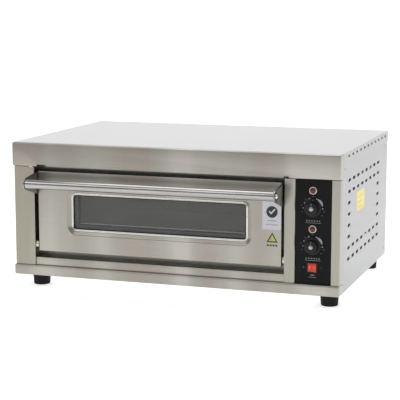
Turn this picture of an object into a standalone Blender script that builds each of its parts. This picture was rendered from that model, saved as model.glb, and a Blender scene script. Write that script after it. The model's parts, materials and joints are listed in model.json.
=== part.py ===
"""One-deck electric baking oven with a drop-down glass door and a control bay on its right.

Metres. X runs to the right, Y to the back, Z up from the floor. Depths in this file are measured
from the front plane of the posts, and finish() moves every piece back by POST_Y, which puts the
origin under the middle of the whole oven, handle and cable gland included.
"""
import math

import bmesh
import bpy
from mathutils import Matrix, Vector

GAP = 0.0003                  # clearance between neighbouring pieces
PAST = 0.001                  # how far a cutter runs past the sheet that it cuts
MERGE = 1e-6                  # points closer than this are one
SHARP_ANGLE = math.radians(32)

# casing
WIDTH = 0.900                 # over the top cover's side flanges
HEIGHT = 0.400                # floor to top cover
BODY_DEPTH = 0.603            # front of the posts to the top cover's rear flange
CASE_T = 0.0012               # casing sheet
FRONT_T = 0.0015              # stainless front sheet
FOOT_H = 0.040
RAIL_H = 0.028                # base rail
RAIL_PROUD = 0.006
RAIL_D = 0.024
FASCIA_H = 0.0633
FASCIA_PROUD = 0.008
FASCIA_SIDE = 0.033           # how far the fascia's ends fold back
FASCIA_TOP = 0.014            # how far its top folds back
FASCIA_LIP = 0.012
LID_FLANGE = 0.028
LEFT_POST_W = 0.059
OPENING_W = 0.6935
CENTRE_POST_W = 0.030
RIGHT_POST_W = 0.0222
POST_SIDE = 0.025             # how far a post's outer edge folds back
RECESS = 0.048                # front plane of the posts to the chamber's face plate
SILL_H = 0.0207
SILL_BACK = 0.004

# vent holes in the casing
VENT_W = 0.028                # slots with round ends in the side sheets
VENT_H = 0.0082
VENT_COUNT = 8                # slots along each side of the square pattern
VENT_Y0 = 0.1036
VENT_Z0 = 0.1187
VENT_PITCH_Y = 0.0525
VENT_PITCH_Z = 0.0293
LID_VENT_W = 0.020            # one row through the lid's flange and the side sheet behind it
LID_VENT_H = 0.0066
LID_VENT_COUNT = 11
LID_VENT_Y0 = 0.0867
LID_VENT_PITCH = 0.0474
LID_VENT_DROP = 0.0119

# feet
FOOT_TOP_R = 0.0255
FOOT_FLOOR_R = 0.0225         # just above its chamfered floor edge
FOOT_CHAMFER = 0.003
FOOT_BAND = 0.004             # straight band at its top
FOOT_INSET_X = 0.043
FOOT_INSET_FRONT = 0.075
FOOT_INSET_REAR = 0.033
FOOT_BOLT_R = 0.004

# door
DOOR_H = 0.217
DOOR_GAP_LEFT = 0.010
DOOR_GAP_RIGHT = 0.0075
DOOR_GAP_SILL = 0.018
DOOR_BACK = 0.003             # the door's face lies this far behind the posts
DOOR_T = 0.035
DOOR_SHEET = 0.0012
HINGE_UP = 0.016              # hinge axis above the door's lower edge
HINGE_IN = 0.013              # and behind its face
SHAFT_R = 0.004
RUN = 0.00015                 # radial clearance of a turning shaft
BUSH_R = 0.012
BUSH_SLEEVE_R = 0.0068
SPRING_R = 0.0088
SPRING_WIRE_R = 0.0012
SPRING_TURNS = 5

# window
WINDOW_LEFT = 0.1005          # door's left edge to the visible glass
WINDOW_LOW = 0.0643           # door's lower edge to the visible glass
WINDOW_W = 0.4804
WINDOW_H = 0.0917
WINDOW_R = 0.008
TRIM_W = 0.006
TRIM_T = 0.003
TRIM_CROWN = 0.001
PANE_R = 0.004
SPACER_W = 0.006
SPACER_R = 0.002
PRESS_W = 0.0134              # width of the pressed slope round the window
PRESS_D = 0.006
PRESS_R = 0.025
GLASS_T = 0.004
LINER_MARGIN = (0.0085, 0.0134, 0.0127, 0.0050)   # liner overlap: left, right, low, high
GASKET_W = 0.009

# handle
HANDLE_R = 0.0122
HANDLE_WALL = 0.0012
HANDLE_OUT = 0.067            # handle axis in front of the posts
HANDLE_DROP = 0.0255          # handle axis below the door's top edge
EAR_T = 0.004
EAR_GAP = 0.0008
EAR_NOSE_R = 0.0152
EAR_LOW = 0.063               # ear's lower edge at the door, below the door's top edge
EAR_IN = 0.028                # how far the ear reaches back beside the door

# baking chamber
CHAMBER_W = 0.640
CHAMBER_D = 0.470
CHAMBER_H = 0.200
CHAMBER_Z = 0.112             # its floor
CHAMBER_T = 0.0015
MOUTH_LOW = 0.025             # mouth's lower edge above the chamber's floor
MOUTH_HIGH = 0.007            # mouth's upper edge below the chamber's roof
MOUTH_R = 0.004
DECK_T = 0.003
DECK_Z = 0.141
DECK_SIDE = 0.004
DECK_BACK = 0.006
WOOL = 0.038                  # mineral wool thickness
ELEMENT_R = 0.0042
ELEMENT_PITCH = 0.105          # between an element's legs
ELEMENT_LEGS = 4
BEND_STEPS = 8
ELEMENT_TERMINAL = 0.014
ELEMENT_SIDE = 0.040          # chamber's side wall to the bends
ELEMENT_UPPER_DROP = 0.014
ELEMENT_LOWER_UP = 0.012
LAMP_Y = 0.455
LAMP_DROP = 0.060
LAMP_R = 0.025
VENT_PIPE_R = 0.020
VENT_PIPE_WALL = 0.0015
VENT_PIPE_IN = 0.004          # into the chamber
VENT_PIPE_OUT = 0.010         # behind the casing
REAR_REACH = 0.015            # the cable gland behind the casing

# controls
CONTROL_X = 0.378
PANEL_BACK = 0.002
PANEL_T = 0.0015
KNOB_Z = (0.2633, 0.1663)
INDICATOR_Z = (0.3075, 0.2095)
ROCKER_Z = 0.1105
KNOB_R = 0.0225
KNOB_GRIP_R = 0.0175
KNOB_SKIRT = 0.0035
KNOB_H = 0.019
KNOB_BEVEL = 0.0008
KNOB_DRAFT = 0.0012           # grip's taper
KNOB_ROUND = 0.0016
KNOB_WELL = 0.0015            # depth of the cap's seat in the knob's face
CAP_R = 0.0055
CAP_PLAY = 0.0012
CAP_BEVEL = 0.001
INDICATOR_R = 0.010
LENS_R = 0.0064
LENS_H = 0.0022
BEZEL_H = 0.0028
BEZEL_BEVEL = 0.001
INDICATOR_D = 0.022
INDICATOR_PLAY = 0.0009
ROCKER_W = 0.0242
ROCKER_H = 0.0224
ROCKER_TILT = math.radians(8)
DIAL_SHAFT_R = 0.003

# smaller fittings
NOTCH_IN = 0.002              # door's left edge to the notch in the fascia's lip
NOTCH_W = 0.026
NOTCH_H = 0.006
PAN_UP = 0.015
POST_EDGE = 0.012
BOLT_HEAD_R = 0.0075
BOLT_SEAT = 0.010
REAR_SLOT_COUNT = 6
REAR_SLOT_X = 0.390
REAR_SLOT_Z0 = 0.200
REAR_SLOT_PITCH = 0.018
REAR_SLOT_W = 0.070
REAR_SLOT_H = 0.005
SENSOR_Y = 0.505
SENSOR_R = 0.0035
SENSOR_LENGTH = 0.085
SENSOR_IN = 0.100              # bulb's end to the chamber's wall
SENSOR_NECK = 0.004
CAPILLARY_R = 0.0012
CAPILLARY_TURN_R = 0.025
CAPILLARY_RISE = 0.080        # where it starts to rise, behind the thermostat
CAPILLARY_EXIT = 0.012
SLOT_H = 0.014
LAMP_HOLDER_R = 0.0185
LAMP_HOLDER_WALL = 0.004
LAMP_LIP = 0.002              # holder proud of the chamber's wall, and short of the insulation's side
LAMP_SEAT_IN = 0.006          # bulb's seat behind the chamber's wall
LAMP_SOCKET_R = 0.008
LAMP_WALL = 0.0025            # cover glass
LAMP_BAND = 0.006             # cover's straight rim
LAMP_DOME_H = 0.0185
BULB_R = 0.0115
BULB_CAP_R = 0.0072
BULB_CAP_H = 0.012
BULB_OUT = 0.007              # bulb's widest place in front of the chamber's wall
BULB_H = 0.011
BULB_NECK = math.radians(-50)
BUSHING_R = 0.0048
BUSHING_OUT = 0.001           # in front of the panel's back
BUSHING_IN = 0.004
THERMOSTAT_W = 0.040
THERMOSTAT_D = 0.034
THERMOSTAT_R = 0.006
THERMOSTAT_OFF = 0.004         # thermostat body to the panel
SHAFT_IN = 0.012              # how far a knob's shaft reaches into its thermostat
KNOB_OFF = 0.0015             # knob's back to the panel
SWITCH_BODY_W = 0.0262
SWITCH_BODY_H = 0.0242
SWITCH_D = 0.024
SWITCH_RIM = 0.0016
SWITCH_RIM_T = 0.0016
SWITCH_FLOOR = 0.003
ROCKER_PIVOT_IN = 0.0035
ROCKER_SWEEP = math.radians(38)   # rounded end of the rocker
ROCKER_TUCK = math.radians(13.3)  # and how much of it lies behind the pivot
ROCKER_DISH = 0.0022
ROCKER_KEEL = 0.009
CABLE_R = 0.006
GLAND_THREAD_R = 0.0095
GLAND_R = 0.0135
GLAND_THREAD_H = 0.010
GLAND_COLLAR_H = 0.007
GLAND_WALL = 0.002
GLAND_AT = (0.390, 0.090)
VENT_PIPE_AT = (-0.0415, 0.215)
FLANGE_W = 0.006              # pressed edge that the window's trim and pane share
LINER_FOLD = 0.007
LINER_R = 0.006
GASKET_CLEAR = 0.002
GASKET_R = 0.012
SHAFT_OUT = 0.0265            # hinge shaft beyond the post's edge
BUSH_IN = 0.005
BUSH_OFF = 0.0025              # bush flange to the door
SHAFT_HELD = 0.012             # hinge shaft inside the door
SPRING_END = 0.004
SPRING_LEG = 0.022
EAR_TOP = 0.002

# worked out from the sizes above
HALF = WIDTH / 2
BODY_X = HALF - CASE_T - GAP
FRONT_REACH = HANDLE_OUT + EAR_NOSE_R
POST_Y = FRONT_REACH - (FRONT_REACH + BODY_DEPTH + REAR_REACH) / 2
RAIL_TOP = FOOT_H + RAIL_H
FASCIA_Z = HEIGHT - FASCIA_H
POST_LOW = RAIL_TOP + GAP
POST_HIGH = FASCIA_Z - GAP
REAR_Y = BODY_DEPTH - CASE_T - GAP
OPEN_L = -BODY_X + LEFT_POST_W
OPEN_R = OPEN_L + OPENING_W
PANEL_L = OPEN_R + CENTRE_POST_W + GAP
PANEL_R = BODY_X - RIGHT_POST_W - GAP
SILL_TOP = POST_LOW + SILL_H
DOOR_L = OPEN_L + DOOR_GAP_LEFT
DOOR_R = OPEN_R - DOOR_GAP_RIGHT
DOOR_LOW = SILL_TOP + DOOR_GAP_SILL
DOOR_TOP = DOOR_LOW + DOOR_H
HINGE_Y = DOOR_BACK + HINGE_IN
HINGE_Z = DOOR_LOW + HINGE_UP
HANDLE_Z = DOOR_TOP - HANDLE_DROP
EAR_L = DOOR_L - EAR_GAP
EAR_R = DOOR_R + EAR_GAP
CHAMBER_L = (DOOR_L + DOOR_R - CHAMBER_W) / 2
CHAMBER_R = CHAMBER_L + CHAMBER_W
CHAMBER_Y = RECESS + FRONT_T + GAP
CHAMBER_BACK = CHAMBER_Y + CHAMBER_D
CHAMBER_TOP = CHAMBER_Z + CHAMBER_H
MOUTH_Z0 = CHAMBER_Z + MOUTH_LOW
MOUTH_Z1 = CHAMBER_TOP - MOUTH_HIGH
UPPER_Z = CHAMBER_TOP - ELEMENT_UPPER_DROP
LOWER_Z = CHAMBER_Z + ELEMENT_LOWER_UP
LAMP_Z = CHAMBER_TOP - LAMP_DROP
WOOL_R = CHAMBER_R + CHAMBER_T + GAP + WOOL
PARTITION_X = WOOL_R + GAP
FLANGE_Y = DOOR_BACK + PRESS_D
GLASS_Y = FLANGE_Y + DOOR_SHEET + GAP
DOOR_REAR = DOOR_BACK + DOOR_T
LINER_Y = DOOR_REAR - DOOR_SHEET
INNER_GLASS_Y = LINER_Y - GAP - GLASS_T


# ---------------------------------------------------------------- shared modelling steps

def material(name, colour, roughness, metallic, alpha=1.0):
    """One Principled material for each finish."""
    mat = bpy.data.materials.get(name)
    if mat is None:
        mat = bpy.data.materials.new(name)
        mat.use_nodes = True
        shader = mat.node_tree.nodes["Principled BSDF"]
        shader.inputs["Base Color"].default_value = (*colour, 1.0)
        shader.inputs["Roughness"].default_value = roughness
        shader.inputs["Metallic"].default_value = metallic
        shader.inputs["Alpha"].default_value = alpha
    return mat


def finish(bm, name, mat, origin=(0, 0, 0)):
    """Turn a bmesh into a named object whose origin is the given point."""
    bmesh.ops.remove_doubles(bm, verts=bm.verts, dist=MERGE)
    bmesh.ops.recalc_face_normals(bm, faces=bm.faces)
    bmesh.ops.translate(bm, vec=-Vector(origin), verts=bm.verts)
    mesh = bpy.data.meshes.new(name)
    bm.to_mesh(mesh)
    bm.free()
    mesh.shade_smooth()
    mesh.set_sharp_from_angle(angle=SHARP_ANGLE)
    mesh.materials.append(mat)
    obj = bpy.data.objects.new(name, mesh)
    obj.location = Vector(origin) + Vector((0, POST_Y, 0))
    bpy.context.collection.objects.link(obj)
    return obj


def boolean(obj, operation, fill):
    """Combine obj with the closed shapes that fill(bm) makes, which stay a hidden helper."""
    bm = bmesh.new()
    fill(bm)
    bmesh.ops.recalc_face_normals(bm, faces=bm.faces)
    name = obj.name + "_" + operation.lower()
    mesh = bpy.data.meshes.new(name)
    bm.to_mesh(mesh)
    bm.free()
    helper = bpy.data.objects.new(name, mesh)
    helper.location = (0, POST_Y, 0)
    helper.hide_render = True
    helper.display_type = "WIRE"
    bpy.context.collection.objects.link(helper)
    modifier = obj.modifiers.new(operation.lower(), "BOOLEAN")
    modifier.operation = operation
    modifier.solver = "EXACT"
    modifier.object = helper
    return obj


def cut(obj, fill):
    """Cut shapes out of obj."""
    return boolean(obj, "DIFFERENCE", fill)


def join(obj, fill):
    """Weld shapes onto obj."""
    return boolean(obj, "UNION", fill)


def box(bm, low, high):
    """A block between two corners."""
    low, high = Vector(low), Vector(high)
    size = Matrix.Diagonal((*(high - low), 1.0))
    bmesh.ops.create_cube(bm, size=1.0, matrix=Matrix.Translation((low + high) / 2) @ size)


def place(axis, u, v, w):
    """A point from its two coordinates in a section and its coordinate along the axis."""
    return {"X": (w, u, v), "Y": (u, w, v), "Z": (u, v, w)}[axis]


def prism(bm, outline, axis, low, high):
    """Extrude a closed outline along an axis."""
    verts = [bm.verts.new(place(axis, u, v, low)) for u, v in outline]
    made = bmesh.ops.extrude_face_region(bm, geom=[bm.faces.new(verts)])
    moved = [e for e in made["geom"] if isinstance(e, bmesh.types.BMVert)]
    bmesh.ops.translate(bm, vec=place(axis, 0, 0, high - low), verts=moved)


def folded(path, thickness):
    """Outline of a bent sheet: path is its outer side, with the sheet on the path's left."""
    points = [Vector(p) for p in path]
    normals = []
    for a, b in zip(points, points[1:]):
        along = (b - a).normalized()
        normals.append(Vector((-along.y, along.x)))
    inner = []
    for i, point in enumerate(points):
        before = normals[max(i - 1, 0)]
        after = normals[min(i, len(normals) - 1)]
        inner.append(point + (before + after) * thickness / (1 + before.dot(after)))
    return [tuple(p) for p in points] + [tuple(p) for p in reversed(inner)]


def loft(bm, loops, closed=False):
    """Skin a row of point loops of equal length. Closed joins the last to the first."""
    rings = [[bm.verts.new(p) for p in loop] for loop in loops]
    pairs = list(zip(rings, rings[1:]))
    if closed:
        pairs.append((rings[-1], rings[0]))
    else:
        bm.faces.new(rings[0])
        bm.faces.new(rings[-1])
    for a, b in pairs:
        for i in range(len(a)):
            j = (i + 1) % len(a)
            bm.faces.new((a[i], a[j], b[j], b[i]))


def corner_points(low, high, radius, steps=6):
    """Centre and angle of each point round a rounded rectangle, anticlockwise."""
    centres = ((high[0] - radius, high[1] - radius), (low[0] + radius, high[1] - radius),
               (low[0] + radius, low[1] + radius), (high[0] - radius, low[1] + radius))
    for quarter, centre in enumerate(centres):
        for step in range(steps + 1):
            yield centre, math.radians(90) * (quarter + step / steps)


def rounded(low, high, radius, steps=6):
    """Outline of a rounded rectangle."""
    return [(c[0] + radius * math.cos(a), c[1] + radius * math.sin(a))
            for c, a in corner_points(low, high, radius, steps)]


def squared(low, high, radius, steps=6):
    """A sharp rectangle with one point for each point of rounded() of the same box."""
    outline = []
    for centre, angle in corner_points(low, high, radius, steps):
        cos, sin = math.cos(angle), math.sin(angle)
        reach = radius / max(abs(cos), abs(sin))
        outline.append((centre[0] + reach * cos, centre[1] + reach * sin))
    return outline


def inset(low, high, by):
    """A box's two corners, moved inwards."""
    return (low[0] + by, low[1] + by), (high[0] - by, high[1] - by)


def at_depth(outline, y):
    """An upright outline, as points at one depth."""
    return [(x, y, z) for x, z in outline]


def turned(bm, profile, centre, axis, steps=24, ring=False):
    """Spin (radius, distance along the axis) points round an axis through the centre."""
    turn_axis = Vector(place(axis, 0, 0, 1))
    arm = Vector(place(axis, 1, 0, 0))
    verts = [bm.verts.new(Vector(centre) + arm * r + turn_axis * d) for r, d in profile]
    edges = [bm.edges.new(pair) for pair in zip(verts, verts[1:])]
    if ring:
        edges.append(bm.edges.new((verts[-1], verts[0])))
    before = set(bm.faces)
    bmesh.ops.spin(bm, geom=verts + edges, cent=centre, axis=turn_axis, angle=2 * math.pi,
                   steps=steps, use_merge=True, use_duplicate=False)
    made = [f for f in bm.faces if f not in before]
    verts = list({v for f in made for v in f.verts})
    bmesh.ops.remove_doubles(bm, verts=verts, dist=MERGE)
    rim = [e for e in bm.edges if e.is_boundary]
    if rim:
        bmesh.ops.holes_fill(bm, edges=rim)


def rod(bm, centre, axis, radius, low, high, steps=16):
    """A plain round bar between two distances along the axis."""
    turned(bm, [(radius, low), (radius, high)], centre, axis, steps)


def swept(bm, path, radius, sides=8):
    """A round bar along a path of points, of one radius or of one for each point."""
    points = [Vector(p) for p in path]
    radii = radius if isinstance(radius, list) else [radius] * len(points)
    loops = []
    side = None
    for i, point in enumerate(points):
        ahead = points[min(i + 1, len(points) - 1)] - point
        behind = point - points[max(i - 1, 0)]
        tangent = (ahead.normalized() + behind.normalized()).normalized()
        if side is None:
            helper = Vector((0, 0, 1)) if abs(tangent.z) < 0.9 else Vector((1, 0, 0))
            side = tangent.cross(helper).normalized()
        side = (side - tangent * side.dot(tangent)).normalized()
        up = tangent.cross(side)
        loops.append([point + radii[i] * (math.cos(a) * side + math.sin(a) * up)
                      for a in (2 * math.pi * k / sides for k in range(sides))])
    loft(bm, loops)


# ---------------------------------------------------------------- finishes

STEEL = material("brushed_steel", (0.62, 0.60, 0.57), 0.32, 1.0)
COVER = material("cover_paint", (0.80, 0.80, 0.81), 0.40, 0.0)
BLACK = material("black_panel", (0.022, 0.024, 0.024), 0.45, 0.0)
CHROME = material("chrome", (0.80, 0.80, 0.80), 0.12, 1.0)
RUBBER = material("rubber", (0.02, 0.02, 0.02), 0.7, 0.0)
GLASS = material("glass", (0.30, 0.32, 0.30), 0.05, 0.0, 0.35)
LINING = material("aluminised_steel", (0.45, 0.45, 0.44), 0.45, 1.0)
DECK = material("deck_steel", (0.24, 0.23, 0.22), 0.6, 1.0)
ELEMENT = material("element_sheath", (0.17, 0.18, 0.17), 0.5, 1.0)
WOOL_MAT = material("mineral_wool", (0.62, 0.56, 0.40), 0.95, 0.0)
GASKET = material("glass_rope", (0.70, 0.68, 0.62), 0.9, 0.0)
PLASTIC = material("black_plastic", (0.03, 0.03, 0.032), 0.35, 0.0)
RED = material("red_plastic", (0.70, 0.05, 0.03), 0.35, 0.0)
LENS = material("red_lens", (0.25, 0.03, 0.02), 0.15, 0.0)
CERAMIC = material("ceramic", (0.85, 0.83, 0.78), 0.5, 0.0)
BRASS = material("brass", (0.70, 0.55, 0.28), 0.3, 1.0)
ZINC = material("zinc_steel", (0.55, 0.55, 0.55), 0.4, 1.0)


# ---------------------------------------------------------------- casing

def slot(bm, centre, width, height):
    """Cutter for a round-ended slot that runs front to back through a side sheet."""
    x, y, z = centre
    radius = height / 2
    outline = []
    for end in (1, -1):
        middle = y + end * (width / 2 - radius)
        for k in range(4):
            angle = math.radians(45 * k - 67.5)
            outline.append((middle + end * radius * math.cos(angle), z + end * radius * math.sin(angle)))
    prism(bm, outline, "X", x - 2 * CASE_T, x + 2 * CASE_T)


def lid_slots(bm, x):
    """Cutters for the row of slots under the lid's edge, through the sheet at x."""
    for i in range(LID_VENT_COUNT):
        slot(bm, (x, LID_VENT_Y0 + i * LID_VENT_PITCH, HEIGHT - LID_VENT_DROP), LID_VENT_W, LID_VENT_H)


def fascia():
    """Stainless head of the front, folded back at its top, ends and lower lip."""
    front = -FASCIA_PROUD
    bm = bmesh.new()
    box(bm, (-HALF, front, FASCIA_Z), (HALF, FASCIA_SIDE, HEIGHT))
    obj = finish(bm, "fascia", STEEL)

    def hollow(bm):
        outline = [(front + FRONT_T, FASCIA_Z + FRONT_T), (front + FASCIA_LIP, FASCIA_Z + FRONT_T),
                   (front + FASCIA_LIP, FASCIA_Z - PAST), (FASCIA_SIDE + PAST, FASCIA_Z - PAST),
                   (FASCIA_SIDE + PAST, HEIGHT + PAST), (front + FASCIA_TOP, HEIGHT + PAST),
                   (front + FASCIA_TOP, HEIGHT - FRONT_T), (front + FRONT_T, HEIGHT - FRONT_T)]
        prism(bm, outline, "X", -HALF + FRONT_T, HALF - FRONT_T)

    def lip_notches(bm):
        for low, high in ((DOOR_L + NOTCH_IN, DOOR_L + NOTCH_IN + NOTCH_W),
                          (OPEN_R, OPEN_R + NOTCH_W / 2)):
            box(bm, (low, front - PAST, FASCIA_Z - PAST),
                (high, front + FASCIA_LIP + PAST, FASCIA_Z + NOTCH_H))

    cut(obj, hollow)
    return cut(obj, lip_notches)


def top_cover():
    """Painted lid with flanges down both sides and the back, and a row of vent holes."""
    front = FASCIA_TOP - FASCIA_PROUD + GAP
    side_front = FASCIA_SIDE + GAP
    low = HEIGHT - LID_FLANGE
    bm = bmesh.new()
    box(bm, (-HALF, front, low), (HALF, BODY_DEPTH, HEIGHT))
    obj = finish(bm, "top_cover", COVER)

    def hollow(bm):
        box(bm, (-HALF + CASE_T, front - PAST, low - PAST),
            (HALF - CASE_T, BODY_DEPTH - CASE_T, HEIGHT - CASE_T))

    def front_corners(bm):
        for x in (-HALF, HALF):
            box(bm, (x - FRONT_T - GAP, front - PAST, low - PAST),
                (x + FRONT_T + GAP, side_front, HEIGHT + PAST))

    def vents(bm):
        for x in (-HALF, HALF):
            lid_slots(bm, x)

    for fill in (hollow, front_corners, vents):
        cut(obj, fill)
    return obj


def side_panel(name, side):
    """Painted side sheet with its vent slots. side is -1 for left, 1 for right."""
    outer = side * BODY_X
    inner = side * (BODY_X - CASE_T)
    bm = bmesh.new()
    back = REAR_Y - CASE_T - GAP
    outline = [(POST_SIDE + GAP, FOOT_H), (back, FOOT_H), (back, HEIGHT - CASE_T - GAP),
               (FASCIA_SIDE + GAP, HEIGHT - CASE_T - GAP), (FASCIA_SIDE + GAP, FASCIA_Z - GAP),
               (POST_SIDE + GAP, FASCIA_Z - GAP)]
    prism(bm, outline, "X", min(outer, inner), max(outer, inner))
    obj = finish(bm, name, COVER)

    def vents(bm):
        edge_rows = (0, 1, VENT_COUNT - 2, VENT_COUNT - 1)
        for row in range(VENT_COUNT):
            for column in range(VENT_COUNT):
                if row in edge_rows or column in (0, VENT_COUNT - 1):
                    centre = (outer, VENT_Y0 + column * VENT_PITCH_Y, VENT_Z0 + row * VENT_PITCH_Z)
                    slot(bm, centre, VENT_W, VENT_H)
        lid_slots(bm, outer)

    return cut(obj, vents)


def rear_panel():
    """Painted back sheet with the holes for the vent pipe and the cable gland."""
    bm = bmesh.new()
    box(bm, (-BODY_X, REAR_Y - CASE_T, FOOT_H), (BODY_X, REAR_Y, HEIGHT - CASE_T - GAP))
    obj = finish(bm, "rear_panel", COVER)

    def holes(bm):
        for (x, z), radius in ((VENT_PIPE_AT, VENT_PIPE_R + GAP), (GLAND_AT, GLAND_THREAD_R + GAP)):
            rod(bm, (x, REAR_Y, z), "Y", radius, -2 * CASE_T, CASE_T, 24)
        for i in range(REAR_SLOT_COUNT):
            z = REAR_SLOT_Z0 + i * REAR_SLOT_PITCH
            box(bm, (REAR_SLOT_X - REAR_SLOT_W / 2, REAR_Y - 2 * CASE_T, z),
                (REAR_SLOT_X + REAR_SLOT_W / 2, REAR_Y + CASE_T, z + REAR_SLOT_H))

    return cut(obj, holes)


def bottom_pan():
    """Floor sheet of the casing with its sides folded up."""
    side = BODY_X - CASE_T - GAP
    up = FOOT_H + PAN_UP
    bm = bmesh.new()
    path = [(-side, up), (-side, FOOT_H), (side, FOOT_H), (side, up)]
    prism(bm, folded(path, CASE_T), "Y", RAIL_D - RAIL_PROUD + GAP, REAR_Y - CASE_T - GAP)
    obj = finish(bm, "bottom_pan", COVER)

    def bolt_holes(bm):
        for _, x, y in foot_centres():
            rod(bm, (x, y, FOOT_H), "Z", FOOT_BOLT_R + GAP, -CASE_T, 2 * CASE_T, 16)

    return cut(obj, bolt_holes)


def base_rail():
    """Stainless box rail along the foot of the front, open at its back."""
    front, back = -RAIL_PROUD, RAIL_D - RAIL_PROUD
    thin = inset((-HALF, FOOT_H), (HALF, RAIL_TOP), FRONT_T)
    bm = bmesh.new()
    box(bm, (-HALF, front, FOOT_H), (HALF, back, RAIL_TOP))
    obj = finish(bm, "base_rail", STEEL)

    def hollow(bm):
        box(bm, (thin[0][0], front + FRONT_T, thin[0][1]), (thin[1][0], back + FRONT_T, thin[1][1]))

    return cut(obj, hollow)


def post(name, path):
    """A stainless post: a sheet folded round an upright path."""
    bm = bmesh.new()
    prism(bm, folded(path, FRONT_T), "Z", POST_LOW, POST_HIGH)
    return finish(bm, name, STEEL)


def front_posts():
    """The three posts of the front frame, with bush holes in the two beside the door."""
    inner_return = RECESS - GAP
    left = post("left_post", [(-BODY_X, POST_SIDE), (-BODY_X, 0), (OPEN_L, 0), (OPEN_L, inner_return)])
    centre = post("centre_post", [(OPEN_R, inner_return), (OPEN_R, 0), (OPEN_R + CENTRE_POST_W, 0),
                                  (OPEN_R + CENTRE_POST_W, POST_EDGE)])
    post("right_post", [(BODY_X - RIGHT_POST_W, POST_EDGE), (BODY_X - RIGHT_POST_W, 0), (BODY_X, 0),
                        (BODY_X, POST_SIDE)])

    def bush_hole(x):
        def fill(bm):
            rod(bm, (x, HINGE_Y, HINGE_Z), "X", BUSH_SLEEVE_R + GAP, -2 * FRONT_T, 2 * FRONT_T, 24)
        return fill

    cut(left, bush_hole(OPEN_L))
    cut(centre, bush_hole(OPEN_R))


def sill():
    """Stainless strip under the door, folded back at its top."""
    bm = bmesh.new()
    path = [(SILL_BACK, POST_LOW), (SILL_BACK, SILL_TOP), (RECESS - GAP, SILL_TOP)]
    prism(bm, folded(path, -FRONT_T), "X", OPEN_L + GAP, OPEN_R - GAP)
    return finish(bm, "door_sill", STEEL)


def foot_centres():
    """Name, X and depth of each foot."""
    for side, side_name in ((-1, "left"), (1, "right")):
        yield "foot_front_" + side_name, side * (HALF - FOOT_INSET_X), FOOT_INSET_FRONT
        yield "foot_rear_" + side_name, side * (HALF - FOOT_INSET_X), BODY_DEPTH - FOOT_INSET_REAR


def feet():
    """Four tapered rubber feet, each with a hole for its bolt and a recess for the bolt's head."""
    for name, x, y in foot_centres():
        profile = [(FOOT_BOLT_R, FOOT_H - GAP), (FOOT_TOP_R, FOOT_H - GAP),
                   (FOOT_TOP_R, FOOT_H - FOOT_BAND), (FOOT_FLOOR_R, FOOT_CHAMFER),
                   (FOOT_FLOOR_R - FOOT_CHAMFER, 0), (BOLT_HEAD_R, 0),
                   (BOLT_HEAD_R, BOLT_SEAT), (FOOT_BOLT_R, BOLT_SEAT)]
        bm = bmesh.new()
        turned(bm, profile, (x, y, 0), "Z", 28, ring=True)
        finish(bm, name, RUBBER)


# ---------------------------------------------------------------- baking chamber

def face_plate():
    """Plate round the chamber's mouth that the door's gasket shuts against."""
    outer = ((OPEN_L - POST_EDGE / 2, POST_LOW + FRONT_T + GAP), (OPEN_R + POST_EDGE / 2, POST_HIGH))
    inner = ((CHAMBER_L, MOUTH_Z0), (CHAMBER_R, MOUTH_Z1))
    bm = bmesh.new()
    near = [at_depth(rounded(*inner, MOUTH_R, 4), y) for y in (RECESS, RECESS + FRONT_T)]
    far = [at_depth(squared(*outer, MOUTH_R, 4), y) for y in (RECESS + FRONT_T, RECESS)]
    loft(bm, near + far, closed=True)
    return finish(bm, "chamber_face_plate", LINING)


def element_legs():
    """Depths of a heating element's legs."""
    first = CHAMBER_Y + (CHAMBER_D - (ELEMENT_LEGS - 1) * ELEMENT_PITCH) / 2
    return [first + i * ELEMENT_PITCH for i in range(ELEMENT_LEGS)]


def chamber_walls():
    """Floor, roof, back and sides of the baking chamber, as separate sheets."""
    t = CHAMBER_T
    left, right = CHAMBER_L - t, CHAMBER_R + t
    sheets = {
        "chamber_floor": ((left, CHAMBER_Y, CHAMBER_Z - t), (right, CHAMBER_BACK, CHAMBER_Z)),
        "chamber_roof": ((left, CHAMBER_Y, CHAMBER_TOP), (right, CHAMBER_BACK, CHAMBER_TOP + t)),
        "chamber_left_wall": ((left, CHAMBER_Y, CHAMBER_Z + GAP),
                              (CHAMBER_L, CHAMBER_BACK, CHAMBER_TOP - GAP)),
        "chamber_right_wall": ((CHAMBER_R, CHAMBER_Y, CHAMBER_Z + GAP),
                               (right, CHAMBER_BACK, CHAMBER_TOP - GAP)),
        "chamber_rear_wall": ((left, CHAMBER_BACK + GAP, CHAMBER_Z - t),
                              (right, CHAMBER_BACK + GAP + t, CHAMBER_TOP + t)),
    }
    made = {}
    for name, (low, high) in sheets.items():
        bm = bmesh.new()
        box(bm, low, high)
        made[name] = finish(bm, name, LINING)

    def side_holes(bm):
        legs = element_legs()
        for z in (LOWER_Z, UPPER_Z):
            for y in (legs[0], legs[-1], SENSOR_Y):
                rod(bm, (CHAMBER_R, y, z), "X", ELEMENT_R + GAP, -t, 3 * t, 12)
        rod(bm, (CHAMBER_R, LAMP_Y, LAMP_Z), "X", LAMP_HOLDER_R + GAP, -t, 3 * t, 24)

    def vent_hole(bm):
        x, z = VENT_PIPE_AT
        rod(bm, (x, CHAMBER_BACK, z), "Y", VENT_PIPE_R + GAP, -t, 4 * t, 24)

    cut(made["chamber_right_wall"], side_holes)
    cut(made["chamber_rear_wall"], vent_hole)


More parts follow.
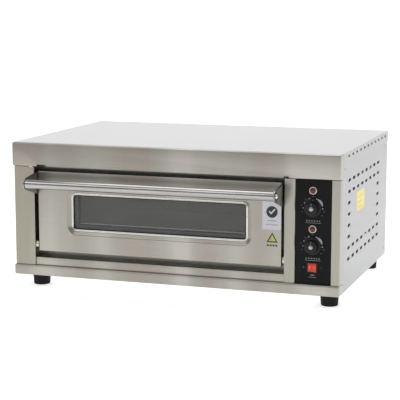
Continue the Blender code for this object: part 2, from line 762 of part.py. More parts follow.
def hearth():
    """Steel baking deck whose folded sides stand on the chamber's floor, over the lower element."""
    left, right = CHAMBER_L + DECK_SIDE, CHAMBER_R - DECK_SIDE
    foot, top = CHAMBER_Z + GAP, DECK_Z + DECK_T
    bm = bmesh.new()
    path = [(left, foot), (left, top), (right, top), (right, foot)]
    prism(bm, folded(path[::-1], DECK_T), "Y", CHAMBER_Y + DECK_SIDE, CHAMBER_BACK - DECK_BACK)
    obj = finish(bm, "hearth_deck", DECK)

    def element_ways(bm):
        legs = element_legs()
        for y in (legs[0], legs[-1], SENSOR_Y):
            box(bm, (right - 2 * DECK_T, y - SLOT_H / 2, foot - PAST),
                (right + PAST, y + SLOT_H / 2, LOWER_Z + SLOT_H / 2))

    return cut(obj, element_ways)


def element(name, z):
    """One heating element bent back and forth, its two ends reaching into the control bay."""
    legs = element_legs()
    radius = ELEMENT_PITCH / 2
    left = CHAMBER_L + ELEMENT_SIDE + radius
    right = CHAMBER_R - ELEMENT_SIDE - radius
    end = PARTITION_X + CASE_T + ELEMENT_TERMINAL
    path = [(end, legs[0], z)]
    for i, (near, far) in enumerate(zip(legs, legs[1:])):
        centre, way = (left, -1) if i % 2 == 0 else (right, 1)
        for k in range(BEND_STEPS + 1):
            a = math.pi * k / BEND_STEPS
            path.append((centre + way * radius * math.sin(a), (near + far) / 2 - radius * math.cos(a), z))
    path.append((end, legs[-1], z))
    bm = bmesh.new()
    swept(bm, path, ELEMENT_R, 8)
    return finish(bm, name, ELEMENT)


def insulation():
    """Mineral wool: slabs over and under the chamber and a blanket round its sides and back."""
    t = CHAMBER_T
    left, right = CHAMBER_L - t - GAP, CHAMBER_R + t + GAP
    low, high = CHAMBER_Z - t - GAP, CHAMBER_TOP + t + GAP
    front = RECESS + FRONT_T + GAP
    back = CHAMBER_BACK + t + 2 * GAP
    rear = REAR_Y - CASE_T - GAP
    top = HEIGHT - CASE_T - GAP
    slabs = (("insulation_top", high, min(high + 2 * WOOL, top)), ("insulation_bottom", low - WOOL, low))
    for name, z0, z1 in slabs:
        bm = bmesh.new()
        box(bm, (left - WOOL, front, z0), (right + WOOL, rear, z1))
        finish(bm, name, WOOL_MAT)
    bm = bmesh.new()
    wrap = [(left - WOOL, front), (left, front), (left, back), (right, back), (right, front),
            (right + WOOL, front), (right + WOOL, rear), (left - WOOL, rear)]
    prism(bm, wrap, "Z", low + GAP, high - GAP)
    obj = finish(bm, "insulation_wrap", WOOL_MAT)

    def holes(bm):
        legs = element_legs()
        for z in (LOWER_Z, UPPER_Z):
            for y in (legs[0], legs[-1], SENSOR_Y):
                rod(bm, (right, y, z), "X", ELEMENT_R + 2 * GAP, -t, WOOL + t, 12)
        rod(bm, (right, LAMP_Y, LAMP_Z), "X", LAMP_HOLDER_R + GAP, -t, WOOL + t, 24)
        x, z = VENT_PIPE_AT
        rod(bm, (x, back, z), "Y", VENT_PIPE_R + GAP, -t, rear - back + t, 24)

    return cut(obj, holes)


def partition():
    """Sheet between the insulation and the control bay, with holes for the element ends."""
    bm = bmesh.new()
    box(bm, (PARTITION_X, RECESS + FRONT_T + GAP, FOOT_H + CASE_T + GAP),
        (PARTITION_X + CASE_T, REAR_Y - CASE_T - GAP, HEIGHT - CASE_T - GAP))
    obj = finish(bm, "bay_partition", LINING)

    def holes(bm):
        legs = element_legs()
        for z in (LOWER_Z, UPPER_Z):
            for y in (legs[0], legs[-1], SENSOR_Y):
                rod(bm, (PARTITION_X, y, z), "X", ELEMENT_R + 2 * GAP, -CASE_T, 2 * CASE_T, 12)

    return cut(obj, holes)


def vent_pipe():
    """Steam pipe from the chamber's back wall out through the casing."""
    x, z = VENT_PIPE_AT
    inner = VENT_PIPE_R - VENT_PIPE_WALL
    bm = bmesh.new()
    start, end = CHAMBER_BACK - VENT_PIPE_IN, REAR_Y + VENT_PIPE_OUT
    turned(bm, [(VENT_PIPE_R, start), (VENT_PIPE_R, end), (inner, end), (inner, start)],
           (x, 0, z), "Y", 24, ring=True)
    return finish(bm, "steam_vent_pipe", LINING)


def dome(radius, start, height, first=0.0, steps=5):
    """Profile of a domed end: a quarter ellipse from its side at start to its tip."""
    angles = (first + (math.pi / 2 - first) * k / steps for k in range(steps + 1))
    return [(radius * math.cos(a), start - height * math.sin(a)) for a in angles]


def chamber_lamp():
    """Oven lamp: ceramic holder, bulb and screwed glass cover."""
    centre = (0, LAMP_Y, LAMP_Z)
    front = CHAMBER_R - LAMP_LIP
    seat = CHAMBER_R + LAMP_SEAT_IN
    back = WOOL_R - LAMP_LIP
    well = LAMP_HOLDER_R - LAMP_HOLDER_WALL
    bm = bmesh.new()
    turned(bm, [(LAMP_HOLDER_R, front), (LAMP_HOLDER_R, back), (LAMP_SOCKET_R, back),
                (LAMP_SOCKET_R, seat), (well, seat), (well, front)], centre, "X", 20, ring=True)
    finish(bm, "lamp_holder", CERAMIC)
    bm = bmesh.new()
    cap = [(BULB_CAP_R, seat + BULB_CAP_H), (BULB_CAP_R, seat)]
    turned(bm, cap + dome(BULB_R, CHAMBER_R - BULB_OUT, BULB_H, BULB_NECK), centre, "X", 16)
    finish(bm, "lamp_bulb", GLASS)
    bm = bmesh.new()
    rim = CHAMBER_R - GAP
    inner = LAMP_R - LAMP_WALL
    outside = [(LAMP_R, rim)] + dome(LAMP_R, rim - LAMP_BAND, LAMP_DOME_H)
    inside = [(inner, rim)] + dome(inner, rim - LAMP_BAND, LAMP_DOME_H - LAMP_WALL)
    turned(bm, outside[::-1] + inside, centre, "X", 20)
    finish(bm, "lamp_cover", GLASS)


# ---------------------------------------------------------------- controls

def control_panel():
    """Black panel with its knob, indicator and switch holes."""
    bm = bmesh.new()
    box(bm, (PANEL_L, PANEL_BACK, POST_LOW), (PANEL_R, PANEL_BACK + PANEL_T, POST_HIGH))
    obj = finish(bm, "control_panel", BLACK)

    def holes(bm):
        for z in KNOB_Z:
            rod(bm, (CONTROL_X, PANEL_BACK, z), "Y", BUSHING_R + GAP, -PANEL_T, 2 * PANEL_T, 16)
        for z in INDICATOR_Z:
            rod(bm, (CONTROL_X, PANEL_BACK, z), "Y", LENS_R + INDICATOR_PLAY, -PANEL_T, 2 * PANEL_T, 20)
        w, h = SWITCH_BODY_W / 2 + GAP, SWITCH_BODY_H / 2 + GAP
        box(bm, (CONTROL_X - w, PANEL_BACK - PANEL_T, ROCKER_Z - h),
            (CONTROL_X + w, PANEL_BACK + 2 * PANEL_T, ROCKER_Z + h))

    return cut(obj, holes)


def thermostat(name, dial_z, bulb_z):
    """Capillary thermostat: body and bushing behind the panel, capillary and bulb to the chamber."""
    start = PANEL_BACK + PANEL_T + THERMOSTAT_OFF
    back = start + THERMOSTAT_D
    half = THERMOSTAT_W / 2
    bm = bmesh.new()
    body = rounded((CONTROL_X - half, dial_z - half), (CONTROL_X + half, dial_z + half), THERMOSTAT_R, 2)
    prism(bm, body, "Y", start, back)
    obj = finish(bm, name, ZINC)

    def bushing(bm):
        rod(bm, (CONTROL_X, 0, dial_z), "Y", BUSHING_R, PANEL_BACK - BUSHING_OUT, start + BUSHING_IN, 16)

    def sensor(bm):
        bulb_end = CHAMBER_R - SENSOR_IN
        turn = CAPILLARY_TURN_R
        arc = [(CONTROL_X - turn + turn * math.sin(a), SENSOR_Y - turn + turn * math.cos(a), bulb_z)
               for a in (math.pi / 2 * k / 4 for k in range(5))]
        path = [(bulb_end - SENSOR_LENGTH, SENSOR_Y, bulb_z), (bulb_end, SENSOR_Y, bulb_z),
                (bulb_end + SENSOR_NECK, SENSOR_Y, bulb_z)]
        path += arc
        path += [(CONTROL_X, back + CAPILLARY_RISE, bulb_z), (CONTROL_X, back + CAPILLARY_EXIT, dial_z),
                 (CONTROL_X, back - SENSOR_NECK, dial_z)]
        swept(bm, path, [SENSOR_R, SENSOR_R] + [CAPILLARY_R] * (len(path) - 2), 8)

    def shaft_bore(bm):
        front = PANEL_BACK - BUSHING_OUT - PAST
        rod(bm, (CONTROL_X, 0, dial_z), "Y", DIAL_SHAFT_R + RUN, front, start + SHAFT_IN + GAP, 16)

    join(obj, bushing)
    join(obj, sensor)
    return cut(obj, shaft_bore)


def knob(name, z):
    """Dial knob with its skirt, and the shaft whose capped end shows in its middle."""
    axis = (CONTROL_X, 0, z)
    origin = (CONTROL_X, PANEL_BACK, z)
    back = PANEL_BACK - KNOB_OFF
    front = back - KNOB_H
    bore = DIAL_SHAFT_R + GAP
    bm = bmesh.new()
    skirt_front = back - KNOB_SKIRT
    well = front + KNOB_WELL
    profile = [(bore, back), (KNOB_R - KNOB_BEVEL, back), (KNOB_R, back - KNOB_BEVEL),
               (KNOB_R, skirt_front + KNOB_BEVEL), (KNOB_R - KNOB_BEVEL, skirt_front),
               (KNOB_GRIP_R, skirt_front - KNOB_BEVEL), (KNOB_GRIP_R - KNOB_DRAFT, front + KNOB_ROUND),
               (KNOB_GRIP_R - KNOB_DRAFT - KNOB_ROUND, front), (CAP_R + CAP_PLAY, front),
               (CAP_R + CAP_PLAY, well), (bore, well)]
    turned(bm, profile, axis, "Y", 32, ring=True)
    finish(bm, name, PLASTIC, origin)
    bm = bmesh.new()
    cap_back = well - GAP
    end = PANEL_BACK + PANEL_T + THERMOSTAT_OFF + SHAFT_IN - GAP
    turned(bm, [(DIAL_SHAFT_R, end), (DIAL_SHAFT_R, cap_back), (CAP_R, cap_back), (CAP_R, front),
                (CAP_R - CAP_BEVEL, front - CAP_BEVEL)], axis, "Y", 16)
    finish(bm, name + "_shaft", CHROME, origin)


def indicator(name, z):
    """Neon indicator: a lens in a metal bezel, with its body behind the panel."""
    out = PANEL_BACK - GAP
    bezel = out - BEZEL_H
    profile = [(LENS_R, PANEL_BACK + INDICATOR_D), (LENS_R, out), (INDICATOR_R, out),
               (INDICATOR_R, bezel + BEZEL_BEVEL), (INDICATOR_R - BEZEL_BEVEL, bezel)]
    profile += dome(LENS_R, bezel, LENS_H)
    bm = bmesh.new()
    turned(bm, profile, (CONTROL_X, 0, z), "Y", 24)
    return finish(bm, name, LENS)


def rocker_switch():
    """Lighting switch: a snap-in housing and a rocker that tilts about an upright axis."""
    out = PANEL_BACK - GAP
    inner_w, inner_h = ROCKER_W / 2 + GAP, ROCKER_H / 2 + GAP
    w, h = SWITCH_BODY_W / 2, SWITCH_BODY_H / 2
    back = PANEL_BACK + SWITCH_D

    def ring(half_w, half_h, y):
        corners = ((1, 1), (-1, 1), (-1, -1), (1, -1))
        return at_depth([(CONTROL_X + i * half_w, ROCKER_Z + k * half_h) for i, k in corners], y)

    bm = bmesh.new()
    rim_w, rim_h, rim_front = w + SWITCH_RIM, h + SWITCH_RIM, out - SWITCH_RIM_T
    loft(bm, [ring(w, h, back), ring(w, h, out), ring(rim_w, rim_h, out), ring(rim_w, rim_h, rim_front),
              ring(inner_w, inner_h, rim_front), ring(inner_w, inner_h, back - SWITCH_FLOOR)])
    finish(bm, "rocker_housing", PLASTIC)
    reach = ROCKER_W / 2
    bm = bmesh.new()
    pivot = PANEL_BACK + ROCKER_PIVOT_IN
    right = [(reach * math.cos(a), -reach * math.sin(a))
             for a in (ROCKER_SWEEP * k / 4 - ROCKER_TUCK for k in range(5))]
    left = [(-x, y) for x, y in reversed(right)]
    outline = right + [(0, right[-1][1] + ROCKER_DISH)] + left + [(0, ROCKER_KEEL)]
    turn = Matrix.Rotation(-ROCKER_TILT, 2)
    placed = [turn @ Vector(p) + Vector((CONTROL_X, pivot)) for p in outline]
    prism(bm, [tuple(p) for p in placed], "Z", ROCKER_Z - ROCKER_H / 2, ROCKER_Z + ROCKER_H / 2)
    finish(bm, "rocker_button", RED, (CONTROL_X, pivot, ROCKER_Z))


def cable_gland():
    """Gland for the supply cable: a thread through the back sheet, a collar and a taper."""
    x, z = GLAND_AT
    bm = bmesh.new()
    out = REAR_Y + GAP
    end = BODY_DEPTH + REAR_REACH
    inside = REAR_Y - GLAND_THREAD_H
    collar = out + GLAND_COLLAR_H
    profile = [(CABLE_R, end), (CABLE_R, inside), (GLAND_THREAD_R, inside), (GLAND_THREAD_R, out),
               (GLAND_R, out), (GLAND_R, collar), (GLAND_R - GLAND_WALL, collar),
               (CABLE_R + GLAND_WALL, end)]
    turned(bm, profile, (x, 0, z), "Y", 24, ring=True)
    return finish(bm, "cable_gland", PLASTIC)


# ---------------------------------------------------------------- door

def window_box(by=0.0):
    """Corners of the visible glass, grown by a margin."""
    left, low = DOOR_L + WINDOW_LEFT, DOOR_LOW + WINDOW_LOW
    return inset((left, low), (left + WINDOW_W, low + WINDOW_H), -by)


def door_skin():
    """Outer door sheet: folded back at its edges, pressed in round the window."""
    t = DOOR_SHEET
    outer = ((DOOR_L, DOOR_LOW), (DOOR_R, DOOR_TOP))
    thin = inset(*outer, t)
    slope_top = window_box(TRIM_W + PRESS_W)
    slope_foot = window_box(TRIM_W)
    edge = window_box(TRIM_W - FLANGE_W)
    back = LINER_Y - GAP * 2
    near = DOOR_BACK

    bm = bmesh.new()
    r = PRESS_R
    rim, brow = rounded(*edge, WINDOW_R), rounded(*slope_top, r)
    foot = rounded(*slope_foot, WINDOW_R + TRIM_W)
    loft(bm, [at_depth(squared(*outer, r), back), at_depth(squared(*outer, r), near),
              at_depth(brow, near), at_depth(foot, FLANGE_Y),
              at_depth(rim, FLANGE_Y), at_depth(rim, FLANGE_Y + t), at_depth(foot, FLANGE_Y + t),
              at_depth(brow, near + t), at_depth(squared(*thin, r), near + t),
              at_depth(squared(*thin, r), back)], closed=True)
    obj = finish(bm, "door_skin", STEEL)

    def shaft_holes(bm):
        for x in (DOOR_L, DOOR_R):
            rod(bm, (x, HINGE_Y, HINGE_Z), "X", SHAFT_R + GAP, -2 * t, 2 * t, 16)

    return cut(obj, shaft_holes)


def window_trim():
    """Bright frame on the pressed edge round the glass."""
    low_y, high_y = FLANGE_Y - GAP, FLANGE_Y - TRIM_T
    outer, middle, inner = window_box(TRIM_W), window_box(TRIM_W / 2), window_box(0)
    bm = bmesh.new()
    loft(bm, [at_depth(rounded(*outer, WINDOW_R + TRIM_W), low_y),
              at_depth(rounded(*outer, WINDOW_R + TRIM_W), high_y + TRIM_CROWN),
              at_depth(rounded(*middle, WINDOW_R + TRIM_W / 2), high_y),
              at_depth(rounded(*inner, WINDOW_R), high_y + TRIM_CROWN),
              at_depth(rounded(*inner, WINDOW_R), low_y)], closed=True)
    return finish(bm, "window_trim", CHROME)


def pane(name, y):
    """A pane of the double window."""
    low, high = window_box(TRIM_W + FLANGE_W)
    bm = bmesh.new()
    prism(bm, rounded(low, high, PANE_R, 3), "Y", y, y + GLASS_T)
    return finish(bm, name, GLASS)


def window_spacer():
    """Sheet frame that holds the two panes apart."""
    outer = window_box(TRIM_W + FLANGE_W)
    inner = window_box(TRIM_W + FLANGE_W - SPACER_W)
    low_y, high_y = GLASS_Y + GLASS_T + GAP, INNER_GLASS_Y - GAP
    bm = bmesh.new()
    outside = rounded(*outer, PANE_R, 3)
    inside = rounded(*inner, SPACER_R, 3)
    loft(bm, [at_depth(outside, low_y), at_depth(outside, high_y), at_depth(inside, high_y),
              at_depth(inside, low_y)], closed=True)
    return finish(bm, "window_spacer", LINING)


def door_liner():
    """Inner door sheet with its own window opening, folded forward at its edges."""
    t = DOOR_SHEET
    outer = inset((DOOR_L, DOOR_LOW), (DOOR_R, DOOR_TOP), t + GAP)
    thin = inset(*outer, t)
    (left, low), (right, high) = window_box(0)
    margin_left, margin_right, margin_low, margin_high = LINER_MARGIN
    hole = ((left + margin_left, low + margin_low), (right - margin_right, high - margin_high))
    front = LINER_Y - LINER_FOLD
    r = LINER_R
    bm = bmesh.new()
    loft(bm, [at_depth(squared(*outer, r, 4), front), at_depth(squared(*outer, r, 4), DOOR_REAR),
              at_depth(rounded(*hole, r, 4), DOOR_REAR), at_depth(rounded(*hole, r, 4), LINER_Y),
              at_depth(squared(*thin, r, 4), LINER_Y), at_depth(squared(*thin, r, 4), front)], closed=True)
    return finish(bm, "door_liner", LINING)


def door_insulation():
    """Mineral wool in the door, round the window and clear of the hinge shafts."""
    margin = 2 * DOOR_SHEET + 3 * GAP
    low, high = inset((DOOR_L, DOOR_LOW), (DOOR_R, DOOR_TOP), margin)
    near, far = DOOR_BACK + DOOR_SHEET + GAP, LINER_Y - GAP
    notch_x, notch_z = SHAFT_HELD + GAP - margin, 2 * HINGE_UP
    shelf = low[1] + notch_z
    outline = [(low[0] + notch_x, low[1]), (high[0] - notch_x, low[1]), (high[0] - notch_x, shelf),
               (high[0], shelf), high, (low[0], high[1]), (low[0], shelf), (low[0] + notch_x, shelf)]
    bm = bmesh.new()
    prism(bm, outline, "Y", near, far)
    obj = finish(bm, "door_insulation", WOOL_MAT)

    def window_space(bm):
        hole = window_box(TRIM_W + PRESS_W + GAP)
        prism(bm, rounded(*hole, PRESS_R), "Y", near - PAST, far + PAST)

    return cut(obj, window_space)


def door_gasket():
    """Rope seal on the back of the door, round the chamber's mouth."""
    inner = inset((CHAMBER_L, MOUTH_Z0), (CHAMBER_R, MOUTH_Z1), -GASKET_CLEAR)
    bm = bmesh.new()
    near, far = DOOR_REAR + GAP, RECESS - GAP
    half_d, half_w = (far - near) / 2, GASKET_W / 2
    loops = []
    sides = 8
    corner = 1 / math.cos(math.pi / sides)
    for k in range(sides):
        a = 2 * math.pi * (k + 0.5) / sides
        outline = inset(*inner, -half_w - half_w * corner * math.cos(a))
        y = (near + far) / 2 + half_d * corner * math.sin(a)
        loops.append(at_depth(rounded(*outline, GASKET_R + half_w * math.cos(a), 4), y))
    loft(bm, loops, closed=True)
    return finish(bm, "door_gasket", GASKET)


def tangent(point, centre, radius, side):
    """Angle on a circle where the line from an outside point just touches it."""
    away = Vector(point) - Vector(centre)
    return math.atan2(away.y, away.x) + side * math.acos(radius / away.length)


def handle_ears():
    """Two bracket plates on the door's ends, rounded round the handle."""
    nose = (-HANDLE_OUT, HANDLE_Z)
    top = (DOOR_BACK, DOOR_TOP - EAR_TOP)
    foot = (DOOR_BACK, DOOR_TOP - EAR_LOW)
    start = tangent(top, nose, EAR_NOSE_R, 1)
    end = tangent(foot, nose, EAR_NOSE_R, -1) + 2 * math.pi
    arc = [(nose[0] + EAR_NOSE_R * math.cos(a), nose[1] + EAR_NOSE_R * math.sin(a))
           for a in (start + (end - start) * k / 12 for k in range(13))]
    outline = [(EAR_IN, top[1]), top] + arc + [foot, (EAR_IN, foot[1])]
    for name, low in (("left_handle_ear", EAR_L - EAR_T), ("right_handle_ear", EAR_R)):
        bm = bmesh.new()
        prism(bm, outline, "X", low, low + EAR_T)
        finish(bm, name, CHROME)


def handle():
    """Polished tube across the door."""
    bm = bmesh.new()
    low, high = EAR_L + GAP, EAR_R - GAP
    inner = HANDLE_R - HANDLE_WALL
    turned(bm, [(HANDLE_R, low), (HANDLE_R, high), (inner, high), (inner, low)],
           (0, -HANDLE_OUT, HANDLE_Z), "X", 28, ring=True)
    return finish(bm, "handle_tube", CHROME)


def hinges():
    """Shafts on the door, flanged bushes in the posts and the counterbalance spring."""
    axis = (0, HINGE_Y, HINGE_Z)
    bore = SHAFT_R + RUN
    for name, side, post_x, door_x in (("left", -1, OPEN_L, DOOR_L), ("right", 1, OPEN_R, DOOR_R)):
        ends = sorted((door_x - side * SHAFT_HELD, post_x + side * SHAFT_OUT))
        bm = bmesh.new()
        rod(bm, axis, "X", SHAFT_R, *ends, 16)
        finish(bm, name + "_hinge_shaft", ZINC, axis)
        flange = door_x + side * BUSH_OFF
        seat = post_x - side * GAP
        inner = post_x + side * BUSH_IN
        bm = bmesh.new()
        turned(bm, [(bore, flange), (BUSH_R, flange), (BUSH_R, seat), (BUSH_SLEEVE_R, seat),
                    (BUSH_SLEEVE_R, inner), (bore, inner)], axis, "X", 24, ring=True)
        finish(bm, name + "_hinge_bush", BRASS)
    start = OPEN_L - BUSH_IN - SPRING_WIRE_R - 2 * GAP
    length = SHAFT_OUT - BUSH_IN - SPRING_END
    turn_steps = 12
    steps = SPRING_TURNS * turn_steps
    path = []
    for k in range(steps + 1):
        a = 2 * math.pi * k / turn_steps
        path.append((start - length * k / steps, HINGE_Y + SPRING_R * math.cos(a),
                     HINGE_Z + SPRING_R * math.sin(a)))
    path.append((path[-1][0], path[-1][1], HINGE_Z + SPRING_LEG))
    bm = bmesh.new()
    swept(bm, path, SPRING_WIRE_R, 6)
    return finish(bm, "door_spring", ZINC)


def main():
    """Clear the scene and build every piece."""
    for obj in list(bpy.data.objects):
        bpy.data.objects.remove(obj)
    fascia()
    top_cover()
    side_panel("left_side_panel", -1)
    side_panel("right_side_panel", 1)
    rear_panel()
    bottom_pan()
    base_rail()
    front_posts()
    sill()
    feet()
    face_plate()
    chamber_walls()
    hearth()
    element("upper_element", UPPER_Z)
    element("lower_element", LOWER_Z)
    insulation()
    partition()
    vent_pipe()
    chamber_lamp()
    control_panel()
    for level, dial_z, lamp_z, bulb_z in zip(("upper", "lower"), KNOB_Z, INDICATOR_Z, (UPPER_Z, LOWER_Z)):
        thermostat(level + "_thermostat", dial_z, bulb_z)
        knob(level + "_knob", dial_z)
        indicator(level + "_indicator", lamp_z)
    rocker_switch()
    cable_gland()
    door_skin()
    window_trim()
    pane("window_outer_pane", GLASS_Y)
    pane("window_inner_pane", INNER_GLASS_Y)
    window_spacer()
    door_liner()
    door_insulation()
    door_gasket()
    handle_ears()
    handle()
    hinges()


main()
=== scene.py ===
import json
import math

import bmesh
import bpy
from mathutils import Matrix, Vector


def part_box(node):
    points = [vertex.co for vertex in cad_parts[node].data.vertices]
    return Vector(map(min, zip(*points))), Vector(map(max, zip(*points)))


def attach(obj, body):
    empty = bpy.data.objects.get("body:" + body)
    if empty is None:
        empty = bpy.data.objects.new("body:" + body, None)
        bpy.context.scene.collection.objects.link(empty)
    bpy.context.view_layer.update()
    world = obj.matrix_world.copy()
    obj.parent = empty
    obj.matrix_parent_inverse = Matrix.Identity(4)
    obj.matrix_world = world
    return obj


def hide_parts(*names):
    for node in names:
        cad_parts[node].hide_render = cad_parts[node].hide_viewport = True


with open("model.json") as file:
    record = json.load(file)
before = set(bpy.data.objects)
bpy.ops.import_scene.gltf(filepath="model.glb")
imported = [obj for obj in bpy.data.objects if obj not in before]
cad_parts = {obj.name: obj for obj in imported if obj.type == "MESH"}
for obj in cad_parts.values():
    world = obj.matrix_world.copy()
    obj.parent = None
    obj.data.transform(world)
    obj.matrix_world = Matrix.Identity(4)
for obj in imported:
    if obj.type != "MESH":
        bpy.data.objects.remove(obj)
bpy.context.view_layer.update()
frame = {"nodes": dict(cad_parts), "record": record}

# Metres, in the oven's own frame: X to the right, Y to the back, Z up from the floor.
GAP = 0.0003
CASE_T = 0.0012               # painted casing sheet
FRONT_T = 0.0015              # stainless front sheet
FOLD_R = 0.0018               # outer radius of a folded sheet
FOLD_STEPS = 4
HEAD_R = 0.0042               # outer radius of the head panel's and the base rail's folds
SMOOTH = math.radians(35)     # edges flatter than this are shaded smooth

# door and window
DOOR_T = 0.0012
WINDOW_R = 0.008
TRIM_W = 0.006
PRESS_W = 0.0098
PRESS_R = 0.025
CORNER_STEPS = 10
FLAT_EDGE = 0.0012            # narrow flat beside a bend, so that the sheet beyond it shades flat
SEAL_W = 0.0016
SHAFT_HOLE_R = 0.0043         # hole in the door sheet for a hinge shaft
BUSH_HOLE_R = 0.0071          # hole in a post for a hinge bush

# vent slots
VENT_SIZE = (0.028, 0.0082)
VENT_COUNT = 8
VENT_START = (0.1036, 0.1187)     # depth behind the posts, height
VENT_PITCH = (0.0525, 0.0293)
LID_VENT_SIZE = (0.020, 0.0066)
LID_VENT_COUNT = 11
LID_VENT_START = 0.0867
LID_VENT_PITCH = 0.0474
LID_VENT_DROP = 0.0119
HOLE_STEPS = 20

HEAD_RISE = 0.42              # height of a domed screw head over its radius
FILM = 0.00015                # thickness of a sticker
INK = 0.00012                 # thickness of a print on the panel


def corners(*nodes):
    """Lowest and highest corner over some CAD nodes."""
    boxes = [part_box(node) for node in nodes]
    low = Vector([min(b[0][i] for b in boxes) for i in range(3)])
    high = Vector([max(b[1][i] for b in boxes) for i in range(3)])
    return low, high


POST_FRONT = corners("left_post")[0].y
HINGE = Vector(next(j for j in frame["record"]["behaviour"]["joints"] if j["name"] == "door_hinge")["pos_m"])
DIAL_X = (corners("upper_knob")[0].x + corners("upper_knob")[1].x) / 2


# ---------------------------------------------------------------- camera and light

def camera():
    """A long lens a little above the oven and to its right."""
    focal_length, sensor = 120.914, 36.0
    tilt, turn = 80.959, 18.708
    data = bpy.data.cameras.new("camera")
    data.lens = focal_length
    data.sensor_width = sensor
    obj = bpy.data.objects.new("camera", data)
    obj.location = (1.1751, -3.5020, 0.8122)
    obj.rotation_euler = (math.radians(tilt), 0.0, math.radians(turn))
    bpy.context.scene.collection.objects.link(obj)
    bpy.context.scene.camera = obj


def softbox(name, place, target, size, power):
    """A rectangular white light that faces a point."""
    data = bpy.data.lights.new(name, "AREA")
    data.shape = "RECTANGLE"
    data.size, data.size_y = size
    data.energy = power
    obj = bpy.data.objects.new(name, data)
    obj.location = place
    obj.rotation_euler = (Vector(target) - Vector(place)).to_track_quat("-Z", "Y").to_euler()
    bpy.context.scene.collection.objects.link(obj)


def studio():
    """Pale floor, even white surroundings that are dimmer near eye level, and three softboxes."""
    world = bpy.data.worlds.new("studio")
    bpy.context.scene.world = world
    world.use_nodes = True
    nodes, links = world.node_tree.nodes, world.node_tree.links
    coords = nodes.new("ShaderNodeTexCoord")
    split = nodes.new("ShaderNodeSeparateXYZ")
    ramp = nodes.new("ShaderNodeValToRGB")
    stops = ((0.0, 0.75), (0.47, 0.62), (0.53, 0.50), (0.60, 0.80), (0.70, 0.62), (0.85, 1.0), (1.0, 1.0))
    for i, (where, grey) in enumerate(stops):
        stop = ramp.color_ramp.elements[i] if i < 2 else ramp.color_ramp.elements.new(where)
        stop.position = where
        stop.color = (grey, grey, grey, 1)
    half = nodes.new("ShaderNodeMapRange")
    half.inputs["From Min"].default_value = -1.0
    links.new(coords.outputs["Generated"], split.inputs["Vector"])
    links.new(split.outputs["Z"], half.inputs["Value"])
    links.new(half.outputs["Result"], ramp.inputs["Fac"])
    links.new(ramp.outputs["Color"], nodes["Background"].inputs["Color"])
    nodes["Background"].inputs["Strength"].default_value = 0.48

    softbox("key_light", (-1.6, -2.6, 2.4), (0, 0, 0.2), (2.2, 1.6), 14)
    softbox("side_light", (3.2, -1.2, 1.5), (0.3, 0, 0.2), (1.6, 1.6), 3)
    softbox("top_light", (0.0, 0.3, 3.0), (0, 0, 0.3), (3.0, 2.4), 33)

    wide, bend_r = 28.0, 1.8
    sweep = [(-12.0, 0.0), (6.0, 0.0), (8.0, 0.0), (8.0, 2.0), (8.0, 9.0)]
    bm = bmesh.new()
    strip(bm, [(-wide / 2, y, z) for y, z in sweep], (wide, 0, 0))
    round_edges(bm, bend_r, 12)
    floor = placed("floor", bm)
    mat, shader = surface("studio_floor", (0.86, 0.86, 0.86), 0.9)
    shader.inputs["Emission Color"].default_value = (1, 1, 1, 1)
    shader.inputs["Emission Strength"].default_value = 0.55
    tint(mat, shader, noise(mat, 2.0), ((0.86, 0.86, 0.86), (0.88, 0.88, 0.88)))
    floor.data.materials.append(mat)
    bpy.context.scene.view_settings.view_transform = "Standard"


# ---------------------------------------------------------------- finishes

def surface(name, colour, roughness, metallic=0.0, **fixed):
    """A material and its shader; the other values are fixed ones of the shader."""
    mat = bpy.data.materials.new(name)
    mat.use_nodes = True
    shader = mat.node_tree.nodes["Principled BSDF"]
    shader.inputs["Base Color"].default_value = (*colour, 1)
    shader.inputs["Roughness"].default_value = roughness
    shader.inputs["Metallic"].default_value = metallic
    for socket, value in fixed.items():
        shader.inputs[socket.replace("_", " ")].default_value = value
    return mat, shader


def noise(mat, scale, stretch=(1, 1, 1), detail=3.0, kind="ShaderNodeTexNoise"):
    """Noise on the piece's own coordinates; it is drawn out along an axis whose stretch is small."""
    nodes, links = mat.node_tree.nodes, mat.node_tree.links
    coords = nodes.new("ShaderNodeTexCoord")
    mapping = nodes.new("ShaderNodeMapping")
    mapping.inputs["Scale"].default_value = stretch
    texture = nodes.new(kind)
    texture.inputs["Scale"].default_value = scale
    links.new(coords.outputs["Object"], mapping.inputs["Vector"])
    links.new(mapping.outputs["Vector"], texture.inputs["Vector"])
    if kind == "ShaderNodeTexNoise":
        texture.inputs["Detail"].default_value = detail
        return texture.outputs["Fac"]
    return texture.outputs["Distance"]


def tint(mat, shader, factor, colours, spread=(0.35, 0.65)):
    """Base colour that runs through some colours as the factor rises."""
    ramp = mat.node_tree.nodes.new("ShaderNodeValToRGB")
    low, high = spread
    for i, colour in enumerate(colours):
        where = low + (high - low) * i / (len(colours) - 1)
        stop = ramp.color_ramp.elements[i] if i < 2 else ramp.color_ramp.elements.new(where)
        stop.position = where
        stop.color = (*colour, 1)
    mat.node_tree.links.new(factor, ramp.inputs["Fac"])
    mat.node_tree.links.new(ramp.outputs["Color"], shader.inputs["Base Color"])


def vary(mat, shader, factor, low, high):
    """Roughness between two values."""
    span = mat.node_tree.nodes.new("ShaderNodeMapRange")
    span.inputs["From Min"].default_value = 0.3
    span.inputs["From Max"].default_value = 0.7
    span.inputs["To Min"].default_value = low
    span.inputs["To Max"].default_value = high
    mat.node_tree.links.new(factor, span.inputs["Value"])
    mat.node_tree.links.new(span.outputs["Result"], shader.inputs["Roughness"])


def relief(mat, shader, factor, strength, depth):
    """Bump of a real depth."""
    bump = mat.node_tree.nodes.new("ShaderNodeBump")
    bump.inputs["Strength"].default_value = strength
    bump.inputs["Distance"].default_value = depth
    mat.node_tree.links.new(factor, bump.inputs["Height"])
    mat.node_tree.links.new(bump.outputs["Normal"], shader.inputs["Normal"])


